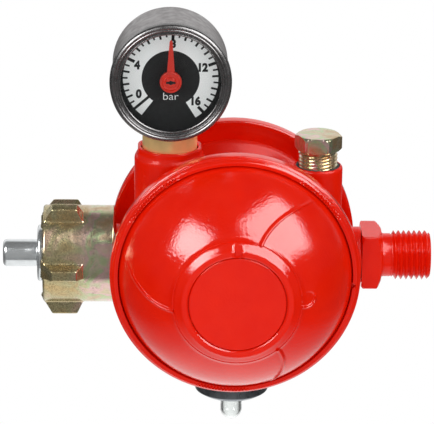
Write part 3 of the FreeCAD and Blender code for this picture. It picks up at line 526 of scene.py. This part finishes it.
def crimp_marks(turn, shift):
    """Depth of the small dents that the crimping tool left on some arcs of a rim, from 0 to 1."""
    wave = np.maximum(0, np.sin((turn + shift) * CRIMP_COUNT)) ** 0.5
    window = np.zeros_like(turn)
    for start, end in CRIMP_ARCS:
        inside = ((turn - math.radians(start)) % (2 * math.pi)) / math.radians(end - start)
        window += np.where(inside < 1, np.clip(np.minimum(inside, 1 - inside) * 6, 0, 1), 0)
    return wave * window


def rim(name, side, marked):
    """Rolled rim that clamps a cover: flange face, outer band, roll and lip, in heights and radii."""
    segments = 2160 if marked else 384
    corners = [
        (14.5, 29.0), (14.5, 33.1), (14.3, 33.4), (14.3, RIM_R, 0.55), (18.2, RIM_R, 0.5),
        (18.5, 34.35, 0.1), (18.8, 34.30, 0.1), (19.2, 34.5, 0.35), (20.05, 33.8, 0.6),
        (20.02, 33.45), (20.0, 33.35), (19.95, 33.2), (19.92, 33.1), (19.9, 32.75, 0.12),
        (18.7, 32.62), (18.2, 32.6), (18.2, 30.6), (15.4, 29.0),
    ]
    # turn is the angle from +X towards +Z; the skin's own angle runs from +Z towards +X.
    turn = math.pi / 2 - np.arange(segments) * (2 * math.pi / segments)
    upper, lower = crimp_marks(turn, 0.0), crimp_marks(turn, math.pi / CRIMP_COUNT)
    off = np.abs((turn - math.radians(RIM_NOTCH) + math.pi) % (2 * math.pi) - math.pi)
    notch = np.clip(1 - off / math.radians(NOTCH_HALF), 0, 1)
    rows = []
    for height, radius in outline(corners, 5):
        dent, wide = 0.0, 0.0
        if marked and height > 19.8 and 33.05 < radius < 33.4:
            dent = UPPER_DENT * upper
        elif marked and height > 19.5 and 33.44 < radius < 33.9:
            dent = LOWER_DENT * lower
        if marked and height > 18.3 and radius < 33.6:
            wide = NOTCH_DEPTH * notch * np.clip((33.6 - radius) / 0.6, 0, 1)
        rows.append((side * (height - dent - wide * 0.4), radius - dent * 0.3 + wide))
    settle(skin(name, rows, "Y", CENTRE, segments, loop=True), "red_coat")


def rims():
    rim("second_stage_rim", -1, True)
    rim("first_stage_rim", 1, False)


# ---------------------------------------------------------------- covers

# The front cover is part of a ball of radius DOME_R whose centre is DOME_AT in front of the mid plane.
DOME_R, DOME_AT = 33.6, 10.2
REAR_R, REAR_AT = 39.5, -4.4
COVER_WALL = 2.0
COLLAR_R = 17.6
RIB_STARTS = (69.0, 188.0, 309.0)
RIB_SWEEP = 20.5
RIB_END = 13.8
RIB_HEIGHT = 0.82
PAD_R, PAD_TURN, PAD_SIZE = 19.2, 1.5, 2.3
DISC_R = 13.5
CAP_BORE_R = 12.6
CAP_R = 12.5


def rib_height(radius, angle):
    """Height of the three swirl ridges and the small pad, at a radius and an angle from +X towards +Z."""
    reach = np.clip((radius - COLLAR_R) / RIB_END, 0, 1.2)
    height = 0.0
    for start in RIB_STARTS:
        line = math.radians(start) - math.radians(RIB_SWEEP) * reach ** 1.6
        gap = (angle - line + math.pi) % (2 * math.pi) - math.pi
        off = gap * radius
        slope = np.where(off > 0, np.clip(1.1 - off / 0.9, 0, 1), np.clip(1.1 + off / 0.5, 0, 1))
        height = height + RIB_HEIGHT * np.clip((1.05 - reach) * 5, 0, 1) * slope * slope * (3 - 2 * slope)
    across = radius * np.sin(angle - math.radians(PAD_TURN))
    out = radius * np.cos(angle - math.radians(PAD_TURN)) - PAD_R
    away = np.sqrt(across ** 2 + out ** 2)
    lip = np.clip(1.2 - np.abs(away - PAD_SIZE) / 0.35, 0, 1) * (across < 0.6)
    return height + 0.3 * lip - 0.5 * np.clip((PAD_SIZE - away) / 0.6, 0, 1)


def edge_fold(radius):
    """Small bead and groove pressed round the cover beside its rim."""
    bead = 0.16 * math.exp(-((radius - 32.25) / 0.2) ** 2)
    groove = 0.10 * math.exp(-((radius - 31.75) / 0.2) ** 2)
    return bead - groove


def ball(radius, at, r):
    """Height above the mid plane of a ball's surface at a distance r from its axis."""
    return at + math.sqrt(radius ** 2 - r ** 2)


def front_cover():
    segments = 1440
    # The skin's angle runs from +Z to +X; the ridges count theirs from +X to +Z.
    angles = math.pi / 2 - np.arange(segments) * (2 * math.pi / segments)
    rows = [(-16.8, 29.9), (-16.8, 33.2), (-18.3, 33.2), (-18.3, 32.62)]
    foot_start = 18.9
    radii = np.concatenate([np.linspace(32.55, 31.3, 12), np.linspace(31.1, foot_start, 64),
                            [18.6, 18.35, 18.15, 17.98, 17.86, 17.78]])
    for radius in radii:
        foot = 0.5 * np.clip((foot_start - radius) / 1.1, 0, 1) ** 2
        surface = ball(DOME_R, DOME_AT, radius) + edge_fold(radius)
        rows.append((-(surface + foot + rib_height(radius, angles)), radius))
    collar = [
        (39.15, 17.55), (39.5, 17.35), (39.8, 17.1), (39.98, 16.9), (40.1, 16.72), (40.6, 16.1), (41.1, 15.5),
        (41.22, 15.4), (41.3, 15.1), (41.34, 14.7), (41.34, 14.2), (41.28, DISC_R + 0.4),
        (41.05, DISC_R + 0.1), (40.8, DISC_R), (40.2, DISC_R), (40.2, CAP_BORE_R),
        (33.5, CAP_BORE_R), (33.5, 15.3), (38.0, 15.3),
    ]
    # A short notch at the top of the collar, with a raised wall on each side.
    off = np.abs(((angles - math.pi / 2 + math.pi) % (2 * math.pi)) - math.pi)
    for height, radius in collar:
        inside = np.clip((1.05 - off * radius) / 0.12, 0, 1)
        wall = np.clip(1 - np.abs(off * radius - 1.4) / 0.35, 0, 1)
        cut = inside * np.clip(height - 39.95, 0, 2) * 0.75 - 0.2 * wall
        rows.append((-(height - cut * (13.7 < radius < 17.2)), radius))
    for radius in np.linspace(15.4, 29.9, 16):
        rows.append((-ball(DOME_R - COVER_WALL, DOME_AT, radius), radius))
    settle(skin("second_stage_dome", rows, "Y", CENTRE, segments, loop=True, sharp=40), "red_coat",
           nodes=["second_stage_cover"])


def rear_cover():
    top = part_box("first_stage_cover")[1].y / MM
    rows = [(16.8, 29.9), (16.8, 33.2), (18.3, 33.2), (18.3, 32.3)]
    rows += [(ball(REAR_R, REAR_AT, r), r) for r in np.linspace(32.2, 18.3, 24)]
    seat = top - 0.85
    rows += outline([(top - 1.6, 17.7, 0.5), (top, 16.9, 0.6), (top, DISC_R, 0.2), (seat, DISC_R),
                     (seat, CAP_BORE_R), (26.0, CAP_BORE_R), (26.0, 15.4), (30.0, 15.4)])
    rows += [(ball(REAR_R - COVER_WALL, REAR_AT, r), r) for r in np.linspace(15.6, 29.9, 12)]
    settle(skin("first_stage_dome", rows, "Y", CENTRE, 384, loop=True, sharp=40), "red_coat",
           nodes=["first_stage_cover"])


def adjuster_caps():
    """Closing caps inside the two collars; the front one is very slightly dished."""
    edge = DISC_R - 0.1
    rim_y, face = -40.95, -40.9
    cap = [(-39.3, 0), (-39.3, CAP_R), (-40.18, CAP_R), (-40.18, edge), (rim_y, edge - 0.1, 0.35)]
    cap += [(face, r) for r in (12.0, 9.0, 6.0, 3.0, 1.0, 0)]
    settle(turned("second_stage_disc", cap, "Y", CENTRE, 256), "red_coat", nodes=["second_stage_cap"])
    low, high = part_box("first_stage_cap")
    inner, outer = low.y / MM, high.y / MM
    cap = [(inner, 0), (inner, CAP_R), (inner + 0.95, CAP_R), (inner + 0.95, edge), (outer, edge - 0.05, 0.5)]
    cap += [(outer, r) for r in (9.0, 5.0, 2.0, 0)]
    settle(turned("first_stage_disc", cap, "Y", CENTRE, 256), "red_coat", nodes=["first_stage_cap"])


# ---------------------------------------------------------------- inlet

NUT_FRONT, NUT_END = -53.9, -33.9
NUT_R = 13.7
NUT_BORE_R = 6.35
NUT_SHOULDER = -42.45           # where the threaded part ends, inside
THREAD_ROOT_R, THREAD_DEPTH, THREAD_PITCH = 9.75, 0.75, 1.814
LUG_COUNT, LUG_R, LUG_START, LUG_TAIL = 5, 17.2, 21.5, -42.3


def nut_field(p):
    x, y, z = p
    radius = np.sqrt(y * y + z * z)
    front = (radius - (NUT_R - 0.45) - (x - NUT_FRONT) * 1.1) * 0.68
    ends = np.abs(x - (NUT_FRONT + NUT_END) / 2) - (NUT_END - NUT_FRONT) / 2
    body = blend_max(radius - NUT_R, ends, 0.35)
    body = blend_max(body, front, 0.25)
    for k in range(LUG_COUNT):
        lean = math.radians(LUG_START + 360 / LUG_COUNT * k)
        out = z * math.cos(lean) - y * math.sin(lean)
        side = y * math.cos(lean) + z * math.sin(lean)
        rise = np.clip((out - 13.0) / (LUG_R - 13.0), -0.5, 1.2)
        flank = np.abs(side) - (2.35 - 0.9 * rise)
        nose = (NUT_FRONT + 0.15 + 2.5 * rise) - x
        tail = x - (LUG_TAIL - 2.0 * rise)
        lug = blend_max(blend_max(nose * 0.9, tail * 0.9, 0.25), flank, 0.35)
        lug = blend_max(lug, radius - LUG_R, 0.4)
        lug = np.maximum(lug, 10.5 - out)
        body = blend_min(body, lug, 0.5)
    turn = np.arctan2(z, y) / (2 * math.pi)
    tooth = np.abs(((x / THREAD_PITCH + turn) % 1.0) - 0.5) * 2
    thread = radius - (THREAD_ROOT_R + THREAD_DEPTH * tooth * np.clip((-43.6 - x) / 0.8, 0, 1))
    mouth = radius - 10.6 - (NUT_FRONT + 0.9 - x) * 0.9
    threaded = np.maximum(np.minimum(thread, mouth), x - NUT_SHOULDER) * 0.8
    body = np.maximum(body, -threaded)
    return blend_max(body, NUT_BORE_R - radius, 0.2)


def union_nut():
    step = 0.2
    obj = solid("nut_forging", nut_field, (-55.0, -18.0, -18.0), (-33.4, 18.0, 18.0), step)
    settle(obj, "gold_chromate", "nut", ["union_nut"])


def nipple():
    """Spigot, seal collar and shank; its seal face is at the frame's origin."""
    low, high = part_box("inlet_nipple")
    end, back = low.x / MM, high.x / MM
    spigot_r, collar_r, shank_r = 3.85, 8.05, 6.0
    corners = [
        (end, 1.5, 0.2), (end, spigot_r, 1.1), (-0.1, spigot_r, 0.25), (0, collar_r, 0.75),
        (1.9, collar_r, 0.6), (1.9, shank_r), (22.0, shank_r), (back - 0.5, shank_r),
        (back, 5.5), (back, 2.0), (2.0, 2.0), (2.0, 1.5),
    ]
    origin = Vector((0, 0, 0))
    settle(turned("nipple_turned", corners, "X", origin, 160), "zinc_plate", nodes=["inlet_nipple"])


# ---------------------------------------------------------------- outlet and plug

def thread_radius(place, angles, start, end, pitch, crest, root):
    """Radius of a male V thread at a place along its axis, fading in at the start, chamfered at the end."""
    wave = np.abs(((place / pitch - angles / (2 * math.pi)) % 1.0) - 0.5) * 2
    form = np.clip(wave * 1.16 - 0.08, 0, 1)
    fade = np.clip((place - start) / (0.6 * pitch), 0, 1)
    radius = root + (crest - root) * form * fade
    return np.minimum(radius, crest - np.clip(place - (end - 1.0), 0, 1.0) * 0.95)


def many_sided(angles, sides, flats, turn=0.0):
    """Distance from the axis to a regular prism's surface at each angle."""
    part = 2 * math.pi / sides
    off = (angles - turn + part / 2) % part - part / 2
    return flats / 2 / np.cos(off)


def capped(prism, places_and_caps):
    """Rows of a prism whose corners are turned off to a largest radius at each place."""
    return [(place, np.minimum(prism, cap)) for place, cap in places_and_caps]


def outlet():
    """Square block, neck and M14 x 1.5 thread, with places from the housing centre."""
    segments = 320
    angles = np.arange(segments) * (2 * math.pi / segments)
    block = many_sided(angles, 4, 15.4)
    start, end, thread, tip = 36.05, 41.8, 44.5, 55.7
    shank_r, neck_r = 6.0, 6.15
    rows = [(25.4, GAS_BORE_R), (25.4, shank_r), (start, shank_r), (start, 7.4)]
    rows += capped(block, [
        (start, 9.7), (start + 0.25, 10.3), (start + 0.5, 10.6), (end - 1.45, 10.6), (end - 1.2, 10.2),
        (end - 0.9, 9.6), (end - 0.5, 8.7), (end - 0.2, 8.0), (end - 0.04, 7.55), (end, 7.35),
    ])
    rows += [(end + 0.02, 7.0), (end + 0.05, 6.6), (end + 0.3, 6.3), (end + 0.7, neck_r)]
    rows.append((thread - 0.1, neck_r))
    for place in np.arange(thread, tip - 0.01, 0.075):
        rows.append((place, thread_radius(place, angles, thread, tip, 1.5, 7.0, 5.95)))
    rows += [(tip, 5.9), (tip, 5.0), (tip - 1.9, 4.05), (49.2, 4.05), (49.2, GAS_BORE_R)]
    piece = skin("outlet_turned", rows, "X", CENTRE, segments, loop=True, sharp=28)
    settle(piece, "red_coat", material=RED_FITTING, nodes=["outlet_fitting"])


def test_plug():
    """Hexagon head on an M11 x 1 thread."""
    segments = 288
    angles = np.arange(segments) * (2 * math.pi / segments)
    # One flat of the hexagon nearly faces the front; angles run from +X to +Y.
    hexagon = many_sided(angles, 6, 11.6, math.radians(23.6))
    tip, thread, low, high = 13.5, 13.6, 31.5, 35.95
    rows = [(tip, 0.0), (tip, 4.5)]
    for place in np.arange(thread, 30.6, 0.1):
        rows.append((place, thread_radius(place, angles, thread, 40.0, 1.0, 5.5, 4.93)))
    rows += [(30.7, 4.9), (low, 4.95), (low, 5.6)]
    rows += capped(hexagon, [
        (low, 6.05), (low + 0.25, 6.4), (low + 0.5, 6.75), (high - 0.75, 6.75), (high - 0.55, 6.6),
        (high - 0.3, 6.25), (high - 0.1, 5.9), (high, 5.6),
    ])
    rows += [(high + 0.02, r) for r in (5.2, 3.0, 1.0, 0.0)]
    settle(skin("plug_turned", rows, "Z", PLUG, segments, sharp=28), "gold_chromate", nodes=["test_plug"])


# ---------------------------------------------------------------- overpressure shut-off

SIGHT_R, SIGHT_WALL = 3.1, 0.6


def arc(centre, radius, start, end, count):
    """Rows of a ball round the axis, with angles from its lowest point."""
    return [(centre - radius * math.cos(a), radius * math.sin(a)) for a in np.linspace(start, end, count)]


def shutoff():
    """Ring and clear cap; both hang slightly lower than the CAD pieces that they stand for."""
    low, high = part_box("shutoff_cover")
    bottom, top = low.z / MM - 0.9, high.z / MM
    ring_r, ring_top, plug_r = 10.5, -35.15, 7.5
    corners = [
        (bottom + 1.5, 1.3), (bottom + 1.5, 3.15), (bottom, 3.15, 0.2), (bottom, 8.6, 0.5),
        (bottom + 1.2, ring_r, 0.5), (ring_top, ring_r, 0.4), (ring_top, plug_r), (top, plug_r, 0.3),
        (top, 6.2), (bottom + 3.2, 6.2), (bottom + 3.2, 1.3),
    ]
    settle(turned("shutoff_ring", corners, "Z", CENTRE, 192), "blued_steel", nodes=["shutoff_cover"])
    low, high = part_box("shutoff_sight_cap")
    end, top = low.z / MM - 0.6, high.z / MM
    inner_r = SIGHT_R - SIGHT_WALL
    middle_z = end + SIGHT_R
    outside = arc(middle_z, SIGHT_R, 0, math.pi / 2, 14)
    inside = arc(middle_z, inner_r, math.pi / 2, 0, 12)
    rows = [(outside[0][0], 0.0)] + outside[1:] + [(top, SIGHT_R), (top, inner_r)]
    rows += inside[:-1] + [(inside[-1][0], 0.0)]
    settle(skin("sight_cap_moulding", rows, "Z", CENTRE, 96), "clear_cap", nodes=["shutoff_sight_cap"])


# ---------------------------------------------------------------- gauge

# Depths are from the gauge's centre, with the front negative.
BEZEL_R = 16.9
CASE_R = 16.2
DIAL_R = 13.2
DIAL_Y = -6.22
WINDOW_Y = -11.0
POINTER_Y = -10.4
# Angle of the zero mark and of one bar, clockwise from the top, in degrees.
BAR_0, BAR_STEP = -131.2, 16.73
# Value, shift along the scale in degrees and radius of each printed figure.
FIGURES = ((0, 13.9, 9.9), (4, -3.9, 10.0), (8, 0.6, 9.95), (12, 0.6, 9.3), (16, -2.9, 9.45))


def gauge_shell():
    case = [
        (-10.4, 15.4), (-10.4, 16.45), (-8.3, 16.45), (-8.0, CASE_R, 0.2), (10.0, CASE_R, 1.6),
        (12.0, 14.6, 0.7), (12.0, 0), (10.9, 0), (10.9, 13.5), (9.0, 15.4),
    ]
    settle(turned("gauge_case_drawn", case, "Y", GAUGE, 256), "case_coat", nodes=["gauge_case"])
    bezel = [
        (-11.95, 15.9, 0.35), (-11.6, 16.5, 0.35), (-11.0, BEZEL_R - 0.1, 0.4), (-9.6, BEZEL_R, 0.6),
        (-8.4, BEZEL_R - 0.2, 0.3), (-8.4, 16.5), (WINDOW_Y, 16.5), (WINDOW_Y, 13.95), (-11.3, 13.8, 0.12),
        (-11.5, 14.15, 0.12), (-11.15, 14.4, 0.1), (-11.2, 14.75, 0.12), (-11.65, 14.95, 0.15),
        (-11.8, 15.25, 0.12), (-11.6, 15.5, 0.1),
    ]
    settle(turned("gauge_bezel_ring", bezel, "Y", GAUGE, 320), "bezel_black", nodes=["gauge_bezel"])
    glass = [(WINDOW_Y, 0), (WINDOW_Y, 15.3), (WINDOW_Y + 0.35, 15.3), (WINDOW_Y + 0.35, 0)]
    settle(turned("gauge_window_disc", glass, "Y", GAUGE, 128), "window", nodes=["gauge_lens"])


def flat_piece(name, faces, depth, thickness, material, slot, body="root"):
    """Thin raised print or plate: polygons given as (x, z) in millimetres from the gauge centre."""
    points, polygons = [], []
    for polygon in faces:
        count = len(polygon)
        start = len(points)
        for y in (depth, depth - thickness):
            points += [GAUGE + Vector((a * MM, y * MM, b * MM)) for a, b in polygon]
        polygons.append(list(range(start, start + count)))
        polygons.append(list(range(start + count, start + 2 * count)))
        for i in range(count):
            j = (i + 1) % count
            polygons.append([start + i, start + j, start + count + j, start + count + i])
    obj = mesh_object(name, points, polygons, 30)
    settle(obj, slot, body, material=material)
    return obj


def clock(angle, radius):
    """Place on the dial at an angle clockwise from the top, in degrees."""
    return (radius * math.sin(math.radians(angle)), radius * math.cos(math.radians(angle)))


def sector(start, end, inner, outer, steps=120):
    """Outline of a ring sector."""
    turns = [start + (end - start) * i / steps for i in range(steps + 1)]
    return [clock(a, outer) for a in turns] + [clock(a, inner) for a in reversed(turns)]


def tick(angle, inner, outer, width):
    """Outline of one scale mark."""
    x, z = math.sin(math.radians(angle)), math.cos(math.radians(angle))
    side = (z * width / 2, -x * width / 2)
    corners = ((inner, -1), (inner, 1), (outer, 1), (outer, -1))
    return [(x * r + s * side[0], z * r + s * side[1]) for r, s in corners]


def lettering(name, text, x, z, height, material, weight, depth, width):
    """Raised generic lettering centred on a point of the dial; height is that of a capital letter."""
    curve = bpy.data.curves.new(name, "FONT")
    curve.body = text
    curve.align_x, curve.align_y = "CENTER", "CENTER"
    curve.size = height * 1.38 * MM
    curve.extrude = 0.00001
    curve.offset = weight * MM
    obj = bpy.data.objects.new(name, curve)
    bpy.context.scene.collection.objects.link(obj)
    obj.matrix_world = Matrix.Translation(GAUGE + Vector((x, DIAL_Y - depth, z)) * MM) @ Matrix.Rotation(
        math.pi / 2, 4, "X")
    bpy.context.view_layer.update()
    mesh = bpy.data.meshes.new_from_object(obj.evaluated_get(bpy.context.evaluated_depsgraph_get()))
    mesh.transform(obj.matrix_world @ Matrix.Diagonal((width, 1, 1, 1)))
    bpy.data.objects.remove(obj)
    new = bpy.data.objects.new(name, mesh)
    bpy.context.scene.collection.objects.link(new)
    settle(new, "dial_print", material=material)


def dial():
    """Black plate, white scale band, marks every half bar and the printed figures."""
    face, back, plate_r, band_r, bore_r = DIAL_Y + 0.02, -5.85, 15.2, 8.05, 0.9
    plate = [(face, bore_r), (face, plate_r), (back, plate_r), (back, bore_r)]
    settle(turned("gauge_dial_plate", plate, "Y", GAUGE, 128), "dial_print", nodes=["gauge_dial"])
    band = [sector(-143, 148, band_r, DIAL_R)]
    # The white band glows a little: painted light.
    flat_piece("dial_scale_white", band, DIAL_Y, 0.04, DIAL_WHITE_GLOWING, "dial_print")
    marks = [tick(BAR_0, 8.0, DIAL_R, 0.75)]
    for half in range(1, 33):
        angle = BAR_0 + BAR_STEP * half / 2
        if half % 8 == 0:
            marks.append(tick(angle, 11.1, DIAL_R, 0.84))
        elif half % 2 == 0:
            marks.append(tick(angle, 11.5, DIAL_R, 0.58))
        else:
            marks.append(tick(angle, 11.9, DIAL_R, 0.48))
    flat_piece("dial_scale_marks", marks, DIAL_Y - 0.06, 0.04, DIAL_BLACK, "dial_print")
    for value, shift, radius in FIGURES:
        x, z = clock(BAR_0 + BAR_STEP * value + shift, radius)
        lettering(f"dial_figure_{value}", str(value), x, z, 2.3, DIAL_BLACK, 0.185, 0.09, 0.92)
    lettering("dial_unit", "bar", 0, -5.2, 2.2, DIAL_WHITE_GLOWING, -0.03, 0.05, 1.12)


def pointer():
    """Blade, hub and a black plate on the hub: painted shade that stands for the slot across the hub."""
    half_blade = [(1.3, -1.0), (0.9, 5.0), (0.40, 11.6)]
    outline_xz = [(-1.3, -1.0)] + half_blade + [(0, 12.1), (-0.40, 11.6), (-0.9, 5.0)]
    level = POINTER_Y + 0.8
    blade = flat_piece("pointer_blade", [outline_xz], level, 0.35, POINTER_GLOWING, "pointer_red", "pointer")
    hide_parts("gauge_pointer")
    groove, lip = POINTER_Y + 0.6, POINTER_Y + 0.1
    hub = [(POINTER_Y + 1.1, 0), (POINTER_Y + 1.1, 3.05), (lip, 3.0, 0.25), (lip, 2.45, 0.1),
           (groove, 2.25, 0.1), (groove, 1.55, 0.1), (POINTER_Y, 1.3, 0.15), (POINTER_Y, 0)]
    settle(turned("pointer_hub", hub, "Y", GAUGE, 96), "pointer_red", "pointer")
    # A raised black plate in front of the hub: painted shade of the slot; no slot is cut.
    slot = [(-1.3, -0.3), (-0.6, -0.3), (0, -0.65), (0.6, -0.3), (1.3, -0.3), (1.3, 0.3), (0.6, 0.3),
            (0, 0.65), (-0.6, 0.3), (-1.3, 0.3)]
    flat_piece("pointer_hub_slot_shade", [slot], POINTER_Y - 0.01, 0.05, DIAL_BLACK, "pointer_red", "pointer")


def gauge_socket():
    """Brass socket from the housing into the case; its wide part stops at the case wall."""
    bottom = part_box("gauge_socket")[0].z / MM
    bore_r, stem_r, wide_r, block_r = 1.2, 5.0, 7.7, 4.2
    rows = outline([(bottom, bore_r), (bottom, stem_r), (26.6, stem_r), (26.6, wide_r, 0.3), (33.0, wide_r),
                    (37.8, wide_r), (37.8, block_r), (41.6, block_r), (41.6, bore_r)])
    base = Vector((GAUGE.x, 0, 0))
    settle(skin("socket_turned", rows, "Z", base, 160, loop=True), "brass", nodes=["gauge_socket"])


# ---------------------------------------------------------------- shown CAD nodes, stage, light and camera

def dress_nodes():
    """Materials for every CAD node that is still shown."""
    slots = {part["node"]: part["material_slot"] for part in frame["record"]["subparts"]}
    for name, obj in frame["nodes"].items():
        if not obj.hide_render:
            obj.data.materials.clear()
            obj.data.materials.append(BY_SLOT[slots[name]])


def softbox(name, place, width, height, power):
    """Area light turned towards the housing centre."""
    light = bpy.data.lights.new(name, "AREA")
    light.shape = "RECTANGLE"
    light.size, light.size_y = width, height
    light.energy = power
    obj = bpy.data.objects.new(name, light)
    bpy.context.scene.collection.objects.link(obj)
    obj.location = place
    obj.rotation_euler = (CENTRE - place).to_track_quat("-Z", "Y").to_euler()
    return obj


WORLD_FILL = 0.98
FLOOR_GLOW = 1.25
# Brightness that mirrored surfaces see, from the camera's side (0) to the back (1).
ROOM = [(0.0, 0.22), (0.05, 0.20), (0.20, 0.04), (0.78, 0.04), (0.87, 0.85), (1.0, 0.95)]
# Brightness of the floor in reflections, against the distance in metres to the left or right of the housing.
FLOOR_SPOT = [(0.0, 1.0), (0.12, 0.80), (0.24, 0.33), (0.42, 0.05), (1.0, 0.02)]
WHITE = (1, 1, 1, 1)


def stage():
    """Pale floor well below the part, which hangs free; it glows a little, as a lit studio table does."""
    floor = bpy.data.meshes.new("floor")
    level, near, far, half = -0.32, -0.30, 6.0, 5.0
    corners = [(-half, near, level), (half, near, level), (half, far, level), (-half, far, level)]
    floor.from_pydata(corners, [], [(0, 1, 2, 3)])
    obj = bpy.data.objects.new("floor", floor)
    bpy.context.scene.collection.objects.link(obj)
    material, tree, place = start_material("pale_floor")
    tone = ramp(tree, noise(tree, place, 0.5, 2.0), [(0.3, 0.97), (0.7, 1.0)])
    away = maths(tree, "SUBTRACT", part_of(tree, place, "X"), CENTRE.x)
    away = maths(tree, "ABSOLUTE", away)
    glow = maths(tree, "MULTIPLY", ramp(tree, away, FLOOR_SPOT), FLOOR_GLOW)
    seen = node(tree, "ShaderNodeLightPath").outputs["Is Camera Ray"]
    table = node(tree, "ShaderNodeEmission", {"Color": tone, "Strength": glow}).outputs["Emission"]
    paper = node(tree, "ShaderNodeEmission", {"Color": WHITE, "Strength": 1.0}).outputs["Emission"]
    end_material(tree, either(tree, seen, table, paper))
    floor.materials.append(material)


def backdrop(tree, colour, strength):
    return node(tree, "ShaderNodeBackground", {"Color": colour, "Strength": strength}).outputs["Background"]


def world():
    """White to the camera, even light for matt surfaces, and a dark room with a white back for mirrors."""
    scene = bpy.context.scene
    scene.world = bpy.data.worlds.new("studio")
    scene.world.use_nodes = True
    tree = scene.world.node_tree
    tree.nodes.clear()
    direction = node(tree, "ShaderNodeTexCoord").outputs["Generated"]
    depth = remapped(tree, part_of(tree, direction, "Y"), From_Min=-1.0)
    room = backdrop(tree, ramp(tree, depth, ROOM), 1.0)
    ray = node(tree, "ShaderNodeLightPath")
    lit = either(tree, ray.outputs["Is Glossy Ray"], backdrop(tree, WHITE, WORLD_FILL), room)
    shown = either(tree, ray.outputs["Is Camera Ray"], lit, backdrop(tree, WHITE, 1.0))
    node(tree, "ShaderNodeOutputWorld", {"Surface": shown})


def lights():
    """Two softboxes: each is bright in reflections, with a weaker twin that lights the matt surfaces."""
    boxes = (("left", Vector((-0.69, -0.52, 0.58)), 0.58, 0.52, 11.5, 1.9),
             ("right", Vector((0.62, -0.42, 0.72)), 1.0, 0.95, 25.0, 5.4))
    for side, away, width, height, shine, fill in boxes:
        softbox(f"shine_{side}", CENTRE + away, width, height, shine).visible_diffuse = False
        softbox(f"fill_{side}", CENTRE + away, width, height, fill).visible_glossy = False


def camera():
    """Long lens from the front, slightly above and slightly to the inlet side."""
    lift, turn, roll = math.radians(19.8), math.radians(-1.9), math.radians(0.85)
    distance = 0.870
    away = Vector((math.sin(turn) * math.cos(lift), -math.cos(turn) * math.cos(lift), math.sin(lift)))
    right = Vector((math.cos(turn), math.sin(turn), 0))
    upward = right.cross(-away).normalized()
    target = CENTRE - right * (4.9 * MM) + upward * (11.8 * MM)
    data = bpy.data.cameras.new("camera")
    data.lens = 254.0
    data.sensor_width = 36.0
    obj = bpy.data.objects.new("camera", data)
    bpy.context.scene.collection.objects.link(obj)
    place = CENTRE + away * distance
    view = (target - place).normalized()
    side = view.cross(Z).normalized()
    top = side.cross(view)
    across = side * math.cos(roll) + top * math.sin(roll)
    up = top * math.cos(roll) - side * math.sin(roll)
    basis = Matrix((across, up, -view)).transposed().to_4x4()
    obj.matrix_world = Matrix.Translation(place) @ basis
    bpy.context.scene.camera = obj


casting()
rims()
front_cover()
rear_cover()
adjuster_caps()
union_nut()
nipple()
outlet()
test_plug()
shutoff()
gauge_shell()
dial()
pointer()
gauge_socket()
dress_nodes()
stage()
world()
lights()
camera()
bpy.context.scene.view_settings.view_transform = "Standard"
